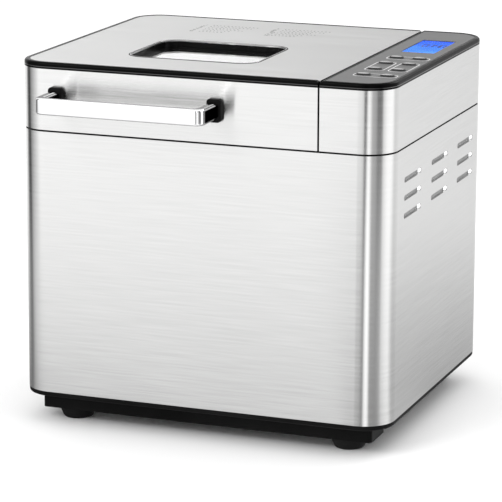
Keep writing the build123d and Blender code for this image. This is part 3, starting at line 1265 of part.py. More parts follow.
with BuildPart() as pan_shell:
    with BuildSketch(level(Z_PAN, LID_X)):
        RectangleRounded(PAN_W - 2 * PAN_DRAFT, PAN_D - 2 * PAN_DRAFT, PAN_R - PAN_DRAFT)
    with BuildSketch(level(Z_PAN_RIM, LID_X)):
        RectangleRounded(PAN_W, PAN_D, PAN_R)
    loft()
    with BuildSketch(level(Z_PAN_RIM, LID_X)):
        RectangleRounded(PAN_W + 2 * PAN_RIM, PAN_D + 2 * PAN_RIM, PAN_R + PAN_RIM)
    extrude(amount=-PAN_RIM_H)
    with BuildSketch(level(Z_PAN_RIM, LID_X)):
        with GridLocations(2 * pan_ear_x - EAR_T, 0, 2, 1):
            Rectangle(EAR_T, EAR_W)
    extrude(amount=-EAR_H)
    with BuildSketch(level(Z_PAN_FLOOR, LID_X)):
        RectangleRounded(
            PAN_W - 2 * PAN_DRAFT - 2 * PAN_WALL,
            PAN_D - 2 * PAN_DRAFT - 2 * PAN_WALL,
            PAN_R - PAN_DRAFT - PAN_WALL,
        )
    with BuildSketch(level(Z_PAN_RIM, LID_X)):
        RectangleRounded(PAN_W - 2 * PAN_WALL, PAN_D - 2 * PAN_WALL, PAN_R - PAN_WALL)
    loft(mode=Mode.SUBTRACT)
    with BuildSketch(level(Z_PAN, LID_X)):
        Circle(PAN_BUSH_R + SLIP)
    extrude(amount=PAN_WALL, mode=Mode.SUBTRACT)
    with BuildSketch(
        side_plane(LID_X + pan_ear_x - EAR_T, 0, Z_BAIL), side_plane(LID_X - pan_ear_x, 0, Z_BAIL)
    ):
        Circle(BAIL_R + FIT / 2)
    extrude(amount=EAR_T, mode=Mode.SUBTRACT)
pan_shell.part.label = "pan_shell"
export_step(pan_shell.part, "parts/pan_shell.step")

with BuildPart() as pan_base:
    with BuildSketch(level(Z_CHAMBER_FLOOR, LID_X)):
        Circle(PAN_BASE_R)
    extrude(amount=PAN_BASE_H)
    with BuildSketch(level(Z_CHAMBER_FLOOR, LID_X)):
        Circle(PAN_BASE_R - PAN_BASE_T)
    extrude(amount=PAN_BASE_H - PAN_BASE_T, mode=Mode.SUBTRACT)
    with BuildSketch(level(Z_PAN, LID_X)):
        Circle(PAN_BUSH_R + SLIP)
    extrude(amount=-PAN_BASE_T, mode=Mode.SUBTRACT)
pan_base.part.label = "pan_base"
export_step(pan_base.part, "parts/pan_base.step")

with BuildPart() as pan_bush:
    with BuildSketch(level(Z_PAN_BUSH, LID_X)):
        Circle(PAN_BUSH_R)
    extrude(amount=Z_PAN_FLOOR - Z_PAN_BUSH)
    with BuildSketch(level(Z_PAN_FLOOR, LID_X)):
        Circle(PAN_BUSH_R + PAN_BUSH_FLANGE)
    extrude(amount=PAN_BUSH_FLANGE_T)
    with BuildSketch(level(Z_PAN_BUSH, LID_X)):
        Circle(SHAFT_R + SLIP)
    extrude(amount=Z_PAN_FLOOR + PAN_BUSH_FLANGE_T - Z_PAN_BUSH, mode=Mode.SUBTRACT)
pan_bush.part.label = "pan_bush"
export_step(pan_bush.part, "parts/pan_bush.step")

with BuildPart() as bail_handle:
    droop = radians(BAIL_DROOP)
    bail_plane = Plane(
        (LID_X, BODY_Y, Z_BAIL), x_dir=(1, 0, 0), z_dir=(0, sin(droop), -cos(droop))
    )
    bail_tip = pan_ear_x - EAR_T - SLIP
    with BuildLine(bail_plane) as bail_path:
        FilletPolyline(
            (-bail_tip, 0),
            (-bail_x, 0),
            (-bail_x, bail_reach),
            (bail_x, bail_reach),
            (bail_x, 0),
            (bail_tip, 0),
            radius=[BAIL_END_R, BAIL_BEND_R, BAIL_BEND_R, BAIL_END_R],
        )
    with BuildSketch(side_plane(LID_X - bail_tip, 0, Z_BAIL)):
        Circle(BAIL_R)
    sweep(path=bail_path.wires()[0])
bail_handle.part.label = "bail_handle"
export_step(bail_handle.part, "parts/bail_handle.step")

with BuildPart() as pan_shaft:
    wing_top = Z_PAN_BUSH - FIT
    with BuildSketch(level(wing_top, LID_X)):
        Rectangle(WING_L, WING_T, rotation=WING_ANGLE)
        Circle(WING_L / 2, mode=Mode.INTERSECT)
    extrude(amount=-WING_H)
    with BuildSketch(level(wing_top, LID_X)):
        Circle(SHAFT_R)
    extrude(amount=Z_PADDLE + PADDLE_H - PADDLE_CAP - FIT - wing_top)
pan_shaft.part.label = "pan_shaft"
export_step(pan_shaft.part, "parts/pan_shaft.step")

with BuildPart() as kneading_paddle:
    with BuildSketch(level(Z_PADDLE, LID_X)):
        Circle(PADDLE_HUB_R)
    extrude(amount=PADDLE_H, taper=PADDLE_HUB_TAPER)
    with BuildSketch(level(Z_PADDLE, LID_X)):
        with BuildLine():
            blade_end = PADDLE_TIP - PADDLE_T / 2
            blade_tip = ThreePointArc(
                (blade_end, -PADDLE_T / 2), (PADDLE_TIP, 0), (blade_end, PADDLE_T / 2)
            )
            Polyline(blade_tip @ 1, (0, PADDLE_T / 2), (0, -PADDLE_T / 2), blade_tip @ 0)
        make_face()
    extrude(amount=PADDLE_H, taper=PADDLE_BLADE_TAPER)
    with BuildSketch(level(Z_PADDLE, LID_X)):
        Circle(SHAFT_R)
    extrude(amount=PADDLE_H - PADDLE_CAP, mode=Mode.SUBTRACT)
kneading_paddle.part.label = "kneading_paddle"
export_step(kneading_paddle.part, "parts/kneading_paddle.step")
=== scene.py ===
import json
from math import cos, pi, radians, sin

import bmesh
import bpy
from mathutils import Matrix, Vector


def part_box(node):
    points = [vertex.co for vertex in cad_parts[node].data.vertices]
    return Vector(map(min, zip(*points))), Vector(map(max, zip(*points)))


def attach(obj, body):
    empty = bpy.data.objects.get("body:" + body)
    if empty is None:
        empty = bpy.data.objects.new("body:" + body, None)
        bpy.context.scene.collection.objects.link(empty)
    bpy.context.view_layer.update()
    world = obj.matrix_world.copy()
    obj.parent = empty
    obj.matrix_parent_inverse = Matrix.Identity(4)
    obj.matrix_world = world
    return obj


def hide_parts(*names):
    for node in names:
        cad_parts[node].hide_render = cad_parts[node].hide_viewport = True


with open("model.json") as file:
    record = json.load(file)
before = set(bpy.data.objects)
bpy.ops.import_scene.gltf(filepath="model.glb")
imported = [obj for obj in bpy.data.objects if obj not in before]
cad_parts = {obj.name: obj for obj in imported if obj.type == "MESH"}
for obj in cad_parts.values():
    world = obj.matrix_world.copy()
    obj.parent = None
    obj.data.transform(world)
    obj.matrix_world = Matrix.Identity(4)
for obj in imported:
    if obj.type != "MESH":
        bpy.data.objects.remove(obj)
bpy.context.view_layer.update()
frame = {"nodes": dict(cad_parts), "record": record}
nodes = frame["nodes"]
scene = bpy.context.scene
MM = 0.001


# Shader nodes

# Nearly all values of a noise texture lie between these
NOISE_LOW, NOISE_HIGH = 0.3, 0.7


def grey(level):
    """A neutral colour."""
    return (level, level, level)


def plug(net, socket, value):
    """Sets a socket to a value, or links an output to it."""
    if isinstance(value, bpy.types.NodeSocket):
        net.links.new(value, socket)
    else:
        socket.default_value = value


def add(net, kind, sockets=None, **settings):
    """Adds a node: settings are its own, sockets get values or links."""
    node = net.nodes.new("ShaderNode" + kind)
    for key, value in settings.items():
        setattr(node, key, value)
    for key, value in (sockets or {}).items():
        plug(net, node.inputs[key], value)
    return node


def coordinates(net, kind):
    """The texture coordinates of this kind."""
    return add(net, "TexCoord").outputs[kind]


def parts(net, vector):
    """The X, Y and Z of a vector."""
    return add(net, "SeparateXYZ", {0: vector}).outputs


def maths(net, operation, *values):
    """The result of one sum on numbers or outputs."""
    return add(net, "Math", dict(enumerate(values)), operation=operation).outputs[0]


def mix(net, factor, one, two, **settings):
    """The colour between two colours, or another blend of them."""
    sockets = {"Factor": factor, "A": one, "B": two}
    return add(net, "Mix", sockets, data_type="RGBA", **settings).outputs["Result"]


def spread(net, fac, low, high, start=NOISE_LOW, end=NOISE_HIGH):
    """Carries a factor from start..end to low..high."""
    sockets = {"Value": fac, "From Min": start, "From Max": end, "To Min": low, "To Max": high}
    return add(net, "MapRange", sockets).outputs[0]


def tint(net, fac, low, high, start=NOISE_LOW, end=NOISE_HIGH):
    """A colour from low to high as a factor goes from start to end."""
    ramp = add(net, "ValToRGB", {"Fac": fac})
    for stop, place, colour in zip(ramp.color_ramp.elements, (start, end), (low, high)):
        stop.position = place
        stop.color = (*colour, 1)
    return ramp.outputs["Color"]


def noise(net, size, stretch=(1, 1, 1), detail=3.0):
    """Noise in the object's own frame, with grains about size mm long times stretch."""
    scale = [1 / (size * MM * s) for s in stretch]
    where = add(net, "Mapping", {"Vector": coordinates(net, "Object"), "Scale": scale}).outputs[0]
    return add(net, "TexNoise", {"Vector": where, "Scale": 1.0, "Detail": detail}).outputs["Fac"]


def relief(net, shader, height, depth, strength=1.0):
    """Bump from a height factor, depth in mm."""
    bump = add(net, "Bump", {"Height": height, "Distance": depth * MM, "Strength": strength})
    plug(net, shader.inputs["Normal"], bump.outputs[0])


# Materials

Y_AXIS, Z_AXIS = 1, 2
FINE_DETAIL = 2.0
BRUSH_RELIEF = 0.6
SMEAR_MM, SMEAR_SHADE = 30.0, 0.94


def material(name, sockets):
    """A new material, its node tree and its Principled shader with these sockets set."""
    made = bpy.data.materials.new(name)
    made.use_nodes = True
    net = made.node_tree
    shader = net.nodes["Principled BSDF"]
    for key, value in sockets.items():
        plug(net, shader.inputs[key], value)
    return made, net, shader


def moulded(name, low, high, rough, grain=0.6, depth=0.02, cloud=45, **sockets):
    """A moulded, cast or painted surface: cloudy colour, uneven gloss and a fine relief."""
    spaced = {key.replace("_", " "): value for key, value in sockets.items()}
    made, net, shader = material(name, spaced)
    broad = noise(net, cloud)
    plug(net, shader.inputs["Base Color"], tint(net, broad, low, high))
    plug(net, shader.inputs["Roughness"], spread(net, broad, *rough))
    relief(net, shader, noise(net, grain, detail=FINE_DETAIL), depth)
    return made


def brushed(name, tone, across, rough, streak=1.0, length=110.0, shade=0.97, depth=0.0004,
            anisotropy=0.95):
    """Brushed sheet metal, its brush lines stacked along the object's axis across."""
    made, net, shader = material(name, {"Metallic": 1.0, "Anisotropic": anisotropy})
    stretch = [length / streak] * 3
    stretch[across] = 1.0
    lines = noise(net, streak, stretch)
    plug(net, shader.inputs["Base Color"], tint(net, lines, [c * shade for c in tone], tone))
    plug(net, shader.inputs["Roughness"], spread(net, lines, *rough))
    axis = [0.0, 0.0, 0.0]
    axis[across] = 1.0
    turn = add(net, "VectorTransform", {0: axis}, vector_type="VECTOR", convert_from="OBJECT",
               convert_to="WORLD")
    plug(net, shader.inputs["Tangent"], turn.outputs[0])
    relief(net, shader, lines, depth, BRUSH_RELIEF)
    return made


def polished(name, tone, rough, smear=SMEAR_MM):
    """Plated or drawn bright metal with a faint uneven gloss."""
    made, net, shader = material(name, {"Metallic": 1.0})
    broad = noise(net, smear)
    low = [c * SMEAR_SHADE for c in tone]
    plug(net, shader.inputs["Base Color"], tint(net, broad, low, tone))
    plug(net, shader.inputs["Roughness"], spread(net, broad, *rough))
    return made


STEEL, BRIGHT, BRIGHT_ROUGH = (0.61, 0.61, 0.607), (0.9, 0.9, 0.905), (0.05, 0.11)
wall_steel = brushed("wall_steel", STEEL, Z_AXIS, (0.17, 0.23), streak=1.3, length=60.0,
                     shade=0.935, depth=0.00025)
plate_steel = brushed("plate_steel", STEEL, Y_AXIS, (0.28, 0.36), streak=2.0, shade=0.93)
liner_steel = brushed("liner_steel", grey(0.56), Z_AXIS, (0.36, 0.5))
lid_liner_steel = brushed("lid_liner_steel", grey(0.56), Y_AXIS, (0.3, 0.42), length=90.0,
                          shade=0.94, anisotropy=0.0)
# Painted shade: a darker copy of the wall steel for the floors of the louvres' dimples
dimple_painted_shade = brushed("dimple_painted_shade", grey(0.24), Z_AXIS, (0.3, 0.4), length=40.0,
                       anisotropy=0.0)
chrome = polished("chrome", BRIGHT, BRIGHT_ROUGH)
ring_steel = polished("ring_steel", grey(0.42), (0.12, 0.2))
wire_plate = polished("wire_plate", (0.7, 0.7, 0.71), (0.18, 0.28))
zinc = polished("zinc", (0.58, 0.58, 0.60), (0.28, 0.42), smear=8.0)
screw_zinc = polished("screw_zinc", (0.52, 0.52, 0.53), (0.24, 0.36), smear=4.0)
gloss_black = moulded("gloss_black", grey(0.001), grey(0.003), (0.2, 0.28), grain=3.0, depth=0.004,
                      Specular_IOR_Level=0.03)
black = moulded("black", grey(0.003), grey(0.007), (0.4, 0.5), grain=0.5, Specular_IOR_Level=0.05)
well_black = moulded("well_black", grey(0.002), grey(0.004), (0.18, 0.26), grain=1.5, depth=0.004,
                     Specular_IOR_Level=0.1)
bead_black = moulded("bead_black", grey(0.012), grey(0.018), (0.14, 0.2), grain=0.5, depth=0.002,
                     Specular_IOR_Level=0.7)
grey_lacquer = moulded("grey_lacquer", grey(0.130), grey(0.148), (0.4, 0.5), grain=0.35,
                       depth=0.008, Specular_IOR_Level=0.12)
silver_lacquer = moulded("silver_lacquer", grey(0.02), grey(0.03), (0.10, 0.16), grain=0.4,
                         depth=0.001, IOR=1.7)
foot_rubber = moulded("foot_rubber", grey(0.005), grey(0.009), (0.6, 0.75), grain=0.8, depth=0.04,
                      Specular_IOR_Level=0.1)
grey_silicone = moulded("grey_silicone", (0.36, 0.36, 0.365), (0.44, 0.44, 0.445), (0.45, 0.6),
                        grain=1.0)
belt_black = moulded("belt_black", grey(0.012), grey(0.024), (0.55, 0.7), grain=0.4, depth=0.03)
dark_sheath = moulded("dark_sheath", (0.06, 0.055, 0.05), (0.14, 0.13, 0.125), (0.4, 0.6),
                      grain=0.5, cloud=14, Metallic=0.7)
white_ceramic = moulded("white_ceramic", (0.70, 0.68, 0.63), (0.8, 0.78, 0.73), (0.5, 0.7),
                        depth=0.03)
cast_metal = moulded("cast_metal", grey(0.45), grey(0.58), (0.38, 0.55), grain=0.7, depth=0.05,
                     cloud=12, Metallic=0.9)
bush_bronze = moulded("bush_bronze", (0.36, 0.22, 0.09), (0.50, 0.33, 0.15), (0.35, 0.5),
                      grain=0.3, depth=0.03, cloud=6, Metallic=0.9)
white_nylon = moulded("white_nylon", (0.62, 0.61, 0.57), (0.70, 0.69, 0.65), (0.42, 0.55))
motor_paint = moulded("motor_paint", (0.20, 0.21, 0.22), (0.30, 0.31, 0.33), (0.35, 0.5),
                      depth=0.03, cloud=18, Metallic=0.5)
can_plastic = moulded("can_plastic", (0.62, 0.62, 0.59), (0.70, 0.70, 0.67), (0.3, 0.4), grain=0.8,
                      depth=0.01)
board_green = moulded("board_green", (0.02, 0.10, 0.04), (0.035, 0.15, 0.06), (0.3, 0.45),
                      grain=1.6, cloud=9)
core_varnish = moulded("core_varnish", grey(0.03), (0.07, 0.065, 0.06), (0.35, 0.55), grain=0.8,
                       depth=0.04, cloud=8, Metallic=0.4)
non_stick = moulded("non_stick", (0.030, 0.030, 0.032), (0.055, 0.055, 0.057), (0.3, 0.42),
                    grain=0.5, depth=0.015, cloud=30, Metallic=0.2)
mirror_glass = moulded("mirror_glass", grey(0.90), grey(0.95), (0.0, 0.015), grain=6.0,
                       depth=0.0002, cloud=40, Transmission_Weight=1.0, IOR=2.4)
clear_lens = moulded("clear_lens", (0.95, 0.97, 1.0), grey(1.0), (0.02, 0.06), grain=8.0,
                     depth=0.001, Transmission_Weight=1.0, IOR=1.01)
white_ink = moulded("white_ink", grey(0.72), grey(0.82), (0.4, 0.5), grain=0.3, depth=0.002)
grey_ink = moulded("grey_ink", grey(0.08), grey(0.12), (0.4, 0.5), grain=0.3, depth=0.002)
display_ink = moulded("display_ink", (0.002, 0.004, 0.03), (0.004, 0.008, 0.06), (0.3, 0.4),
                      grain=0.3, depth=0.002, Specular_IOR_Level=0.02)

GLOW_CLOUD_MM, GLOW_LIFT = 22, 0.5


def bar_metal(name):
    """The handle's bar: bright, with painted dark reflections on its arms' sides and painted shade
    on its back.
    """
    made, net, shader = material(name, {"Metallic": 1.0, "Specular Tint": (*grey(0.3), 1)})
    facing = parts(net, coordinates(net, "Normal"))
    sideways = maths(net, "ABSOLUTE", facing["X"])
    # Painted shade on the back, which faces the lid, and painted dark reflections on the arms'
    # sides, both set by the face's direction
    painted_shaded_back = tint(net, facing["Y"], BRIGHT, grey(0.7), start=0.6, end=0.95)
    painted_dark_sides = spread(net, sideways, 0.0, 1.0, start=0.97, end=0.995)
    plug(net, shader.inputs["Base Color"], mix(net, painted_dark_sides, painted_shaded_back, (*grey(0.02), 1)))
    plug(net, shader.inputs["Roughness"], spread(net, noise(net, SMEAR_MM), *BRIGHT_ROUGH))
    return made


def backlit(name):
    """The display's glow from behind, unevenly brighter towards its front end."""
    sockets = {"Roughness": 0.4, "Emission Strength": 0.85, "Specular IOR Level": 0.0}
    made, net, shader = material(name, sockets)
    low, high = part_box("lcd_module")
    near = spread(net, parts(net, coordinates(net, "Object"))["Y"], 1.0, 0.0, low.y, high.y)
    uneven = maths(net, "MULTIPLY_ADD", near, noise(net, GLOW_CLOUD_MM), GLOW_LIFT)
    colour = tint(net, uneven, (0.01, 0.03, 0.2), (0.02, 0.06, 0.3), start=0.2, end=1.1)
    glow = tint(net, uneven, (0.003, 0.07, 0.92), (0.09, 0.36, 1.0), start=0.45, end=1.0)
    plug(net, shader.inputs["Base Color"], colour)
    plug(net, shader.inputs["Emission Color"], glow)
    return made


bar_chrome = bar_metal("bar_chrome")
display_blue = backlit("display_blue")

# By the record's material slot, and for nodes with a finish of their own
FINISH = {
    "stainless_steel": wall_steel, "black_gloss_plastic": gloss_black, "black_plastic": black,
    "chrome_bar": chrome, "fascia": grey_lacquer, "window_glass": mirror_glass, "lens": clear_lens,
    "display": display_blue, "silver_button": silver_lacquer, "rubber": foot_rubber,
    "silicone": grey_silicone, "belt_rubber": belt_black, "bare_steel": zinc,
    "screw_steel": screw_zinc, "chamber_steel": liner_steel, "element_sheath": dark_sheath,
    "ceramic": white_ceramic, "cast_aluminium": cast_metal, "bronze": bush_bronze,
    "nylon": white_nylon, "motor_case": motor_paint, "capacitor_case": can_plastic,
    "circuit_board": board_green, "transformer_core": core_varnish, "non_stick": non_stick,
    "wire": wire_plate,
}
OWN = {"lid_top_plate": plate_steel, "lid_liner": lid_liner_steel, "window_well": well_black,
       "handle_bar": bar_chrome}
for part in frame["record"]["subparts"]:
    node = part["node"]
    nodes[node].material_slots[0].material = OWN.get(node, FINISH[part["material_slot"]])


# Pieces that the solids don't carry, and those that stand in for a solid

def piece(name, bm, paint, body):
    """Makes an object of a bmesh, paints it and lets it ride on a body."""
    mesh = bpy.data.meshes.new(name)
    bm.to_mesh(mesh)
    bm.free()
    made = bpy.data.objects.new(name, mesh)
    scene.collection.objects.link(made)
    mesh.materials.append(paint)
    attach(made, body)
    return made


def arc(x, y, r, start, steps):
    """Points on a quarter turn to the left about x, y, from an angle in degrees on."""
    turns = [radians(start + 90 * i / steps) for i in range(steps + 1)]
    return [(x + r * cos(a), y + r * sin(a)) for a in turns]


def round_loop(x0, y0, x1, y1, r, steps=8):
    """Points round a rectangle with rounded corners, from its right front corner on, in metres."""
    corners = ((x1 - r, y0 + r, -90), (x1 - r, y1 - r, 0), (x0 + r, y1 - r, 90),
               (x0 + r, y0 + r, 180))
    return [point for x, y, start in corners for point in arc(x, y, r, start, steps)]


def sweep(bm, path, section, z, closed=False):
    """Carries a section along a path in plan: mm out to the path's right, and mm up from z."""
    last = len(path) - 1
    rings = []
    for i, (x, y) in enumerate(path):
        ahead = path[(i + 1) % len(path)] if closed else path[min(i + 1, last)]
        behind = path[i - 1] if closed else path[max(i - 1, 0)]
        way = (Vector(ahead) - Vector(behind)).normalized() * MM
        rings.append([bm.verts.new((x + way.y * out, y - way.x * out, z + up * MM))
                      for out, up in section])
    if closed:
        rings.append(rings[0])
    else:
        bm.faces.new(rings[0])
        bm.faces.new(reversed(rings[-1]))
    for one, two in zip(rings, rings[1:]):
        for j in range(len(section)):
            k = (j + 1) % len(section)
            bm.faces.new((one[j], two[j], two[k], one[k]))


def slab(bm, points, z0, z1, bevel=0.0):
    """A flat plate with this outline, from z0 to z1, its top edge chamfered by bevel."""
    middle = Vector((sum(p[0] for p in points), sum(p[1] for p in points))) / len(points)
    shrunk = [Vector(p) + (middle - Vector(p)).normalized() * bevel for p in points]
    levels = [(points, z0), (points, z1 - bevel)] + ([(shrunk, z1)] if bevel else [])
    rings = [[bm.verts.new((p[0], p[1], z)) for p in ring] for ring, z in levels]
    count = len(points)
    for one, two in zip(rings, rings[1:]):
        for i in range(count):
            bm.faces.new((one[i], one[(i + 1) % count], two[(i + 1) % count], two[i]))
    bm.faces.new(reversed(rings[0]))
    bm.faces.new(rings[-1])


# Thin lens over the display, with room under it for the digits
LENS_LIP, LENS_R, LENS_BEVEL = 1.25 * MM, 0.5 * MM, 0.1 * MM
LENS_TOP_DOWN, LENS_FOOT_DOWN = 0.02 * MM, 0.8 * MM
low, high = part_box("lcd_lens")
window = round_loop(low.x + LENS_LIP, low.y + LENS_LIP, high.x - LENS_LIP, high.y - LENS_LIP,
                    LENS_R)
bm = bmesh.new()
slab(bm, window, high.z - LENS_FOOT_DOWN, high.z - LENS_TOP_DOWN, LENS_BEVEL)
lens = piece("display_lens", bm, clear_lens, "housing")
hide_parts("lcd_lens")

# Seven-segment numbers, read from the front: the bars of each, and each bar's two ends
SEGMENTS = {"0": "abcdef", "1": "bc", "2": "abged", "3": "abgcd", "4": "fgbc", "5": "afgcd",
            "6": "afgedc", "7": "abc", "8": "abcdefg", "9": "abcdfg"}
BARS = {"a": (0, 1, 1, 1), "b": (1, 0.5, 1, 1), "c": (1, 0, 1, 0.5), "d": (0, 0, 1, 0),
        "e": (0, 0, 0, 0.5), "f": (0, 0.5, 0, 1), "g": (0, 0.5, 1, 0.5)}
INK_T = 0.06 * MM
BAR_GAP = 0.25


def stroke(bm, x0, y0, x1, y1, line, z):
    """One pointed bar of ink, a little shorter than the way between its two ends."""
    start, end = Vector((x0, y0)), Vector((x1, y1))
    way = (end - start).normalized()
    side = Vector((way.y, -way.x)) * line / 2
    start, end = start + way * line * BAR_GAP, end - way * line * BAR_GAP
    after, before = start + way * line / 2, end - way * line / 2
    points = [start, after + side, before + side, end, before - side, after - side]
    slab(bm, [(p.x, p.y) for p in points], z, z + INK_T)


def numeral(bm, digit, left, base, width, height, line, z):
    """One digit of ink, from its left lower corner."""
    for bar in SEGMENTS[digit]:
        x0, y0, x1, y1 = BARS[bar]
        stroke(bm, left + x0 * width, base + y0 * height, left + x1 * width, base + y1 * height,
               line, z)


# The lit face of the display, just under the lens, and a time in digits on it, offsets in mm
FACE_DOWN, FACE_INK_UP = 0.95 * MM, 0.02 * MM
TIME, TIME_OFFSETS = "0340", (-7.2, -2.3, 3.5, 8.4)
TIME_RIGHT, TIME_BACK = 2 * MM, 8 * MM
DIGIT_W, DIGIT_H, DIGIT_LINE = 3.8 * MM, 13.0 * MM, 1.15 * MM
DOT_RISES, DOT_W, DOT_R, DOT_STEPS = (3.8 * MM, 8.0 * MM), 1.2 * MM, 0.5 * MM, 4
face_z = high.z - FACE_DOWN
bm = bmesh.new()
slab(bm, window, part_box("lcd_module")[1].z, face_z)
piece("display_face", bm, display_blue, "housing")
ink_z = face_z + FACE_INK_UP
middle_x = (low.x + high.x) / 2 + TIME_RIGHT
base = (low.y + high.y) / 2 - DIGIT_H / 2 + TIME_BACK
bm = bmesh.new()
for digit, offset in zip(TIME, TIME_OFFSETS):
    left = middle_x + offset * MM - DIGIT_W / 2
    numeral(bm, digit, left, base, DIGIT_W, DIGIT_H, DIGIT_LINE, ink_z)
for rise in DOT_RISES:
    dot_y = base + rise
    dot = round_loop(middle_x, dot_y - DOT_W / 2, middle_x + DOT_W, dot_y + DOT_W / 2, DOT_R,
                     DOT_STEPS)
    slab(bm, dot, ink_z, ink_z + INK_T)
piece("display_digits", bm, display_ink, "housing")

# A faint numbered list on the lid, with a row of plain dashes for each entry. A column is its left
# end, its top and its first number. The rows' ends and the dashes are in mm.
COLUMNS = ((-87 * MM, 110 * MM, 1), (-19 * MM, 112 * MM, 7))
ROW, ROW_START, ROW_ENDS = 7.0 * MM, 8 * MM, (52, 47, 38, 43, 34, 28)
NUMBER_W, NUMBER_H, NUMBER_LINE, NUMBER_STEP = 2.2 * MM, 4.6 * MM, 0.6 * MM, 1.6
DASHES, DASH_GAP, DASH_LINE = (2.2, 1.6, 2.8, 1.9, 3.2, 1.7, 2.5), 1.2 * MM, 2.0 * MM
lid_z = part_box("lid_top_plate")[1].z
bm = bmesh.new()
for left, top, first in COLUMNS:
    for row, end in enumerate(ROW_ENDS):
        base = top - row * ROW
        for place, digit in enumerate(str(first + row)):
            numeral(bm, digit, left + place * NUMBER_W * NUMBER_STEP, base, NUMBER_W, NUMBER_H,
                    NUMBER_LINE, lid_z)
        start, height, count = left + ROW_START, base + NUMBER_H / 2, row
        while start < left + end * MM:
            dash = DASHES[count % len(DASHES)] * MM
            stroke(bm, start, height, start + dash, height, DASH_LINE, lid_z)
            start, count = start + dash + DASH_GAP, count + 1
piece("lid_list", bm, grey_ink, "lid")

# The window's bright half-round trim, and the dark gasket outside it
WINDOW_R, RING_W, RING_STEPS = 15 * MM, 2.0 * MM, 16
TRIM_OUT, GASKET_OUT = 0.45 * MM, 1.45 * MM
TRIM = ((0.45, 0), (0.42, 0.18), (0.28, 0.34), (0, 0.4), (-0.28, 0.34), (-0.42, 0.18), (-0.45, 0))
GASKET = ((0.55, 0), (0.5, 0.2), (0.3, 0.28), (-0.3, 0.28), (-0.5, 0.2), (-0.55, 0))
ring_low, ring_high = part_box("window_ring")


def window_edge(name, section, out, paint):
    """A section all the way round the window, its middle this far out from the opening."""
    draw = RING_W - out
    path = round_loop(ring_low.x + draw, ring_low.y + draw, ring_high.x - draw,
                      ring_high.y - draw, WINDOW_R + out, RING_STEPS)
    bm = bmesh.new()
    sweep(bm, path, section, ring_low.z, closed=True)
    return piece(name, bm, paint, "lid")


trim = window_edge("window_trim", TRIM, TRIM_OUT, ring_steel)
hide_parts("window_ring")
window_edge("window_gasket", GASKET, GASKET_OUT, black)

# Bright bead in the side of each black rim, round its two outer corners
CORNER_R, CORNER_STEPS, BEAD_DOWN = 26.5 * MM, 12, 3.9 * MM
BEAD = ((-0.05, -0.32), (0.06, -0.32), (0.12, -0.26), (0.12, 0.26), (0.06, 0.32), (-0.05, 0.32))
for name, body in (("lid_rim", "lid"), ("panel_rim", "housing")):
    low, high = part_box(name)
    front_y, back_y = low.y + CORNER_R, high.y - CORNER_R
    if body == "lid":
        start, end, x = (high.x, high.y), (high.x, low.y), low.x + CORNER_R
        turns = ((back_y, 90), (front_y, 180))
    else:
        start, end, x = (low.x, low.y), (low.x, high.y), high.x - CORNER_R
        turns = ((front_y, -90), (back_y, 0))
    path = [start]
    for y, turn in turns:
        path += arc(x, y, CORNER_R, turn, CORNER_STEPS)
    path.append(end)
    bm = bmesh.new()
    sweep(bm, path, BEAD, high.z - BEAD_DOWN)
    piece(name + "_bead", bm, bead_black, body)

# Buttons: a pad level with the plate, on its flange and stem, and a raised oval key on each pad
PLATE_T, PAD_GAP, PAD_R, PAD_UP, PAD_BEVEL = 1.0 * MM, 0.3 * MM, 3.0 * MM, 0.02 * MM, 0.1 * MM
FLANGE, STEM_R, STEM_STEPS = 1.0 * MM, 1.5 * MM, 24
KEY_D, KEY_H, KEY_EDGE = 6.4 * MM, 1.5 * MM, 0.2 * MM
KEY_STEPS, KEY_END, KEY_FALL = 28, 0.985, 0.3


def oval_key(bm, middle, half_x, half_y, z):
    """A key with an oval outline, upright walls and a top that falls towards both ends."""
    rings = []
    for i in range(KEY_STEPS + 1):
        along = KEY_END * (2 * i / KEY_STEPS - 1)
        slim = (1 - along ** 2) ** 0.5
        x, y, top = middle.x + along * half_x, slim * half_y, KEY_H * slim ** KEY_FALL
        edge = min(KEY_EDGE, top / 2)
        half = [(y, 0), (y, top - edge), (y - edge, top)]
        section = [(-out, up) for out, up in half] + half[::-1]
        rings.append([bm.verts.new((x, middle.y + out, z + up)) for out, up in section])
    for one, two in zip(rings, rings[1:]):
        for j in range(len(one)):
            bm.faces.new((one[j], one[j - 1], two[j - 1], two[j]))
    bm.faces.new(rings[0])
    bm.faces.new(reversed(rings[-1]))


plate_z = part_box("panel_plate")[1].z
flange_z = plate_z - PLATE_T - PAD_GAP
for name in [n for n in nodes if n.endswith("_button")]:
    low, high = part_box(name)
    middle = (low + high) / 2
    turns = [2 * pi * i / STEM_STEPS for i in range(STEM_STEPS)]
    stem = [(middle.x + STEM_R * cos(a), middle.y + STEM_R * sin(a)) for a in turns]
    wide = round_loop(low.x, low.y, high.x, high.y, PAD_R + FLANGE)
    x0, y0, x1, y1 = low.x + FLANGE, low.y + FLANGE, high.x - FLANGE, high.y - FLANGE
    bm = bmesh.new()
    slab(bm, stem, low.z, flange_z - FLANGE)
    slab(bm, wide, flange_z - FLANGE, flange_z)
    slab(bm, round_loop(x0, y0, x1, y1, PAD_R), flange_z, plate_z + PAD_UP, PAD_BEVEL)
    pad = piece(name.replace("button", "pad"), bm, grey_lacquer, name)
    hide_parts(name)
    bm = bmesh.new()
    oval_key(bm, middle, (x1 - x0) / 2 - KEY_EDGE, KEY_D / 2, plate_z)
    piece(name.replace("button", "key"), bm, silver_lacquer, name)

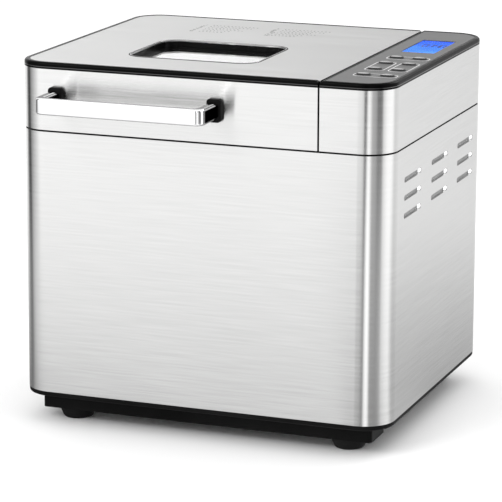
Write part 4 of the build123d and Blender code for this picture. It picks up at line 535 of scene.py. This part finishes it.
# Floors of the louvres' dimples in a darker steel, painted shade in the recesses, and the ramp at
# the rear end of each in bright chrome, a painted highlight
LOUVRE_L, LOUVRE_H, LOUVRE_FLOOR, LOUVRE_ROUND = 45.8 * MM, 4.4 * MM, 2.2 * MM, 0.98
LOUVRE_Y, LOUVRE_Z, PITCH_Y, PITCH_Z = 17.25 * MM, 212.9 * MM, 75.5 * MM, 15.2 * MM
RAMP_L, RAMP_TOP, BACKING, MERGE = 2.7 * MM, 0.15 * MM, 2.9 * MM, 0.01 * MM
RAMP_RISE = (LOUVRE_FLOOR - RAMP_TOP) / RAMP_L
side_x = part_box("outer_shell")[1].x


def inlay(bm, outline, depth):
    """A block let into the right side, with this outline (y, z) and its face at depth(y)."""
    inner = [bm.verts.new((side_x - BACKING, y, z)) for y, z in outline]
    outer = [bm.verts.new((side_x - depth(y), y, z)) for y, z in outline]
    for i in range(len(outline)):
        bm.faces.new((inner[i - 1], inner[i], outer[i], outer[i - 1]))
    bm.faces.new(reversed(inner))
    bm.faces.new(outer)


floors, ramps = bmesh.new(), bmesh.new()
for column in (-1, 0, 1):
    for row in (-1, 0, 1):
        middle_y, middle_z = LOUVRE_Y + column * PITCH_Y, LOUVRE_Z + row * PITCH_Z
        y0, y1 = middle_y - LOUVRE_L / 2, middle_y + LOUVRE_L / 2
        z0, z1 = middle_z - LOUVRE_H / 2, middle_z + LOUVRE_H / 2
        outline = round_loop(y0, z0, y1, z1, LOUVRE_H / 2 * LOUVRE_ROUND)
        foot = y1 - RAMP_L
        inlay(floors, [(min(y, foot), z) for y, z in outline], lambda y: LOUVRE_FLOOR)
        inlay(ramps, [(max(y, foot), z) for y, z in outline],
              lambda y: LOUVRE_FLOOR - (y - foot) * RAMP_RISE)
# Painted shade on the floors, and a painted highlight in the ramps' bright chrome
for name, bm, paint in (("louvre_floors", floors, dimple_painted_shade), ("louvre_ramps", ramps, chrome)):
    bmesh.ops.remove_doubles(bm, verts=bm.verts, dist=MERGE)
    piece(name, bm, paint, "housing")

# White lines printed round the pairs of buttons
LINE = ((0.35, 0), (0.35, 0.04), (-0.35, 0.04), (-0.35, 0))
LINE_OUT, LINE_R = 0.6 * MM, 5.5 * MM
PAIRS = (("start_button", "stop_button"), ("time_down_button", "time_up_button"),
         ("weight_down_button", "weight_up_button"), ("menu_button", "crust_button"))
bm = bmesh.new()
for pair in PAIRS:
    boxes = [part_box(name) for name in pair]
    x0, x1 = min(b[0].x for b in boxes), max(b[1].x for b in boxes)
    y0, y1 = min(b[0].y for b in boxes), max(b[1].y for b in boxes)
    path = round_loop(x0 - LINE_OUT, y0 - LINE_OUT, x1 + LINE_OUT, y1 + LINE_OUT, LINE_R)
    sweep(bm, path, LINE, plate_z, closed=True)
piece("panel_lines", bm, white_ink, "housing")


# Floor, light and camera

# Studio walls as a ring of soft light bands, each an angle in degrees and a level. An angle of 0
# is in front of the machine, 90 to its right.
BANDS = (
    (-180, 1.0), (-164, 0.2), (-156.5, 0.58), (-142, 1.3), (-112, 1.35), (-102, 0.45), (-96, 0.1),
    (-89, 0.08), (-83, 0.45), (-62, 1.1), (-48, 1.68), (-20, 1.55), (-2, 1.48), (4, 1.25),
    (7, 0.5), (10, 0.08), (14, 0.05), (17, 0.7), (20, 1.3), (25, 1.4), (30, 1.25), (35, 0.85),
    (48, 0.6), (54, 0.2), (67, 0.08), (72, 0.4), (76, 1.05), (90, 1.6), (115, 1.85), (130, 1.12),
    (162, 1.19), (165.5, 1.05),
)
# The bands as they show on the floor near the machine
NEAR_BANDS = (
    (-180, 1.2), (-115, 1.45), (-106, 0.9), (-98, 0.5), (-90, 0.45), (-84, 1.0), (-76, 1.4),
    (-52, 1.64), (-26, 1.62), (-22.5, 1.68), (-20.5, 1.58), (-18.4, 1.36), (-10, 1.12), (2, 0.76),
    (7, 0.62), (11, 1.15), (14.5, 2.2), (22, 2.7), (27, 2.2), (31, 1.2), (34, 0.78), (38, 0.72),
    (50, 0.74), (60, 0.88), (68, 1.15), (76, 1.6), (92, 1.95), (104, 2.1), (122, 1.28),
    (136, 1.25), (160, 1.44), (166, 1.25),
)


def light_ring(net, where, bands):
    """The light of the bands at a vector's angle about the upright axis, its parts, its angle."""
    look = parts(net, where)
    front = maths(net, "MULTIPLY", look["Y"], -1.0)
    angle = maths(net, "ARCTAN2", look["X"], front)
    ramp = add(net, "ValToRGB", {"Fac": spread(net, angle, 0.0, 1.0, -pi, pi)})
    stops = ramp.color_ramp.elements
    while len(stops) < len(bands):
        stops.new(0.5)
    for stop, (degrees, level) in zip(stops, bands):
        stop.position = degrees / 360 + 0.5
        stop.color = (*grey(level), 1)
    return ramp.outputs["Color"], look, angle


# The floor is matt white. In mirror-like faces it shows painted light instead: the bands, by their
# angles about the shell's right front corner, the near bands up to NEAR_END metres away, the far
# ones from FAR_START on. They fade to a lower level close to the machine, lowest behind it:
# painted shade.
FLOOR, FLOOR_CLOUD_MM = 30.0, 900
CORNER_IN = 26 * MM
NEAR_END, FAR_START = 1.0, 1.1
FADE_START, FADE_END, LEVEL_FAR = 0.2, 1.05, 0.95
FRONT_Y, BACK_Y, LEVEL_FRONT, LEVEL_BACK = -0.1, 0.1, 0.56, 0.42


def floor_paint(name):
    """The floor's material."""
    made, net, shader = material(name, {"Roughness": 0.75})
    colour = tint(net, noise(net, FLOOR_CLOUD_MM), grey(0.9), grey(0.92))
    plug(net, shader.inputs["Base Color"], colour)
    low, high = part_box("outer_shell")
    corner = (high.x - CORNER_IN, low.y + CORNER_IN, 0)
    spot = coordinates(net, "Object")
    way = add(net, "VectorMath", {0: spot, 1: corner}, operation="SUBTRACT").outputs[0]
    reach = add(net, "VectorMath", {0: way}, operation="LENGTH").outputs["Value"]
    far = spread(net, reach, 0.0, 1.0, NEAR_END, FAR_START)
    ring = mix(net, far, light_ring(net, way, NEAR_BANDS)[0], light_ring(net, way, BANDS)[0])
    nearest = spread(net, parts(net, spot)["Y"], LEVEL_FRONT, LEVEL_BACK, FRONT_Y, BACK_Y)
    distance = add(net, "VectorMath", {0: spot}, operation="LENGTH").outputs["Value"]
    # Painted shade: the glow dims close to the machine, most behind it
    fade = spread(net, distance, nearest, LEVEL_FAR, FADE_START, FADE_END)
    glow = add(net, "Emission", {"Color": ring, "Strength": fade}).outputs[0]
    glossy = add(net, "LightPath").outputs["Is Glossy Ray"]
    both = add(net, "MixShader", {0: glossy, 1: shader.outputs[0], 2: glow}).outputs[0]
    plug(net, net.nodes["Material Output"].inputs["Surface"], both)
    return made


bm = bmesh.new()
for x, y in ((-1, -1), (1, -1), (1, 1), (-1, 1)):
    bm.verts.new((x * FLOOR, y * FLOOR, 0))
bm.faces.new(bm.verts)
mesh = bpy.data.meshes.new("floor")
bm.to_mesh(mesh)
bm.free()
floor = bpy.data.objects.new("floor", mesh)
scene.collection.objects.link(floor)
mesh.materials.append(floor_paint("floor_white"))

# The world: the bands round the machine, plain light overhead, a long low window behind it on the
# left, and plain white where the camera looks past the machine. Heights are a direction's Z.
OVERHEAD, OVERHEAD_START, OVERHEAD_END = 1.2, 0.55, 0.85
STRIP, STRIP_FOOT, STRIP_TOP = 1.1, (0.08, 0.11), (0.20, 0.24)
STRIP_END = (radians(-148), radians(-142))
world = bpy.data.worlds.new("studio")
world.use_nodes = True
scene.world = world
net = world.node_tree
ring, look, angle = light_ring(net, coordinates(net, "Generated"), BANDS)
overhead = spread(net, look["Z"], 0.0, 1.0, OVERHEAD_START, OVERHEAD_END)
sky = mix(net, overhead, ring, (*grey(OVERHEAD), 1))
above_foot = spread(net, look["Z"], 0.0, 1.0, *STRIP_FOOT)
below_top = spread(net, look["Z"], 1.0, 0.0, *STRIP_TOP)
before_end = spread(net, angle, 1.0, 0.0, *STRIP_END)
strip = maths(net, "MULTIPLY", above_foot, below_top)
strip = maths(net, "MULTIPLY", strip, before_end)
strip = maths(net, "MULTIPLY", strip, STRIP)
sky = mix(net, 1.0, sky, strip, blend_type="ADD")
plain = add(net, "LightPath").outputs["Is Camera Ray"]
plug(net, net.nodes["Background"].inputs["Color"], mix(net, plain, sky, (*grey(1), 1)))


def soft_light(name, place, aim, size, power):
    """A square softbox that the camera doesn't see, in metres and watts."""
    made = bpy.data.objects.new(name, bpy.data.lights.new(name, "AREA"))
    scene.collection.objects.link(made)
    made.data.size = size
    made.data.energy = power
    made.location = place
    made.rotation_euler = (Vector(aim) - Vector(place)).to_track_quat("-Z", "Y").to_euler()
    made.visible_camera = False


soft_light("key", place=(-0.9, -1.6, 1.6), aim=(-0.3, -0.5, 0), size=1.2, power=18)
soft_light("fill", place=(1.0, 1.8, 1.6), aim=(0.5, 0.6, 0), size=1.2, power=16)

# The photo's camera: focal length in pixels of a 502 px square, angles in degrees
PHOTO, FOCAL, CLIP_END = 502, 2816.4, 200
AZIMUTH, ELEVATION, ROLL = radians(20.646), radians(13.546), radians(0.165)
TARGET, DISTANCE = Vector((-5.24, 15.25, 132.2)) * MM, 2471.1 * MM
back = Vector((sin(AZIMUTH) * cos(ELEVATION), -cos(AZIMUTH) * cos(ELEVATION), sin(ELEVATION)))
level_right = (-back).cross(Vector((0, 0, 1))).normalized()
level_up = level_right.cross(-back)
right = cos(ROLL) * level_right + sin(ROLL) * level_up
up = cos(ROLL) * level_up - sin(ROLL) * level_right
turned = Matrix((right, up, back)).transposed().to_4x4()
camera = bpy.data.objects.new("camera", bpy.data.cameras.new("camera"))
scene.collection.objects.link(camera)
camera.data.lens = FOCAL / PHOTO * camera.data.sensor_width
camera.data.clip_end = CLIP_END
camera.matrix_world = Matrix.Translation(TARGET + back * DISTANCE) @ turned
scene.camera = camera
scene.view_settings.view_transform = "Standard"
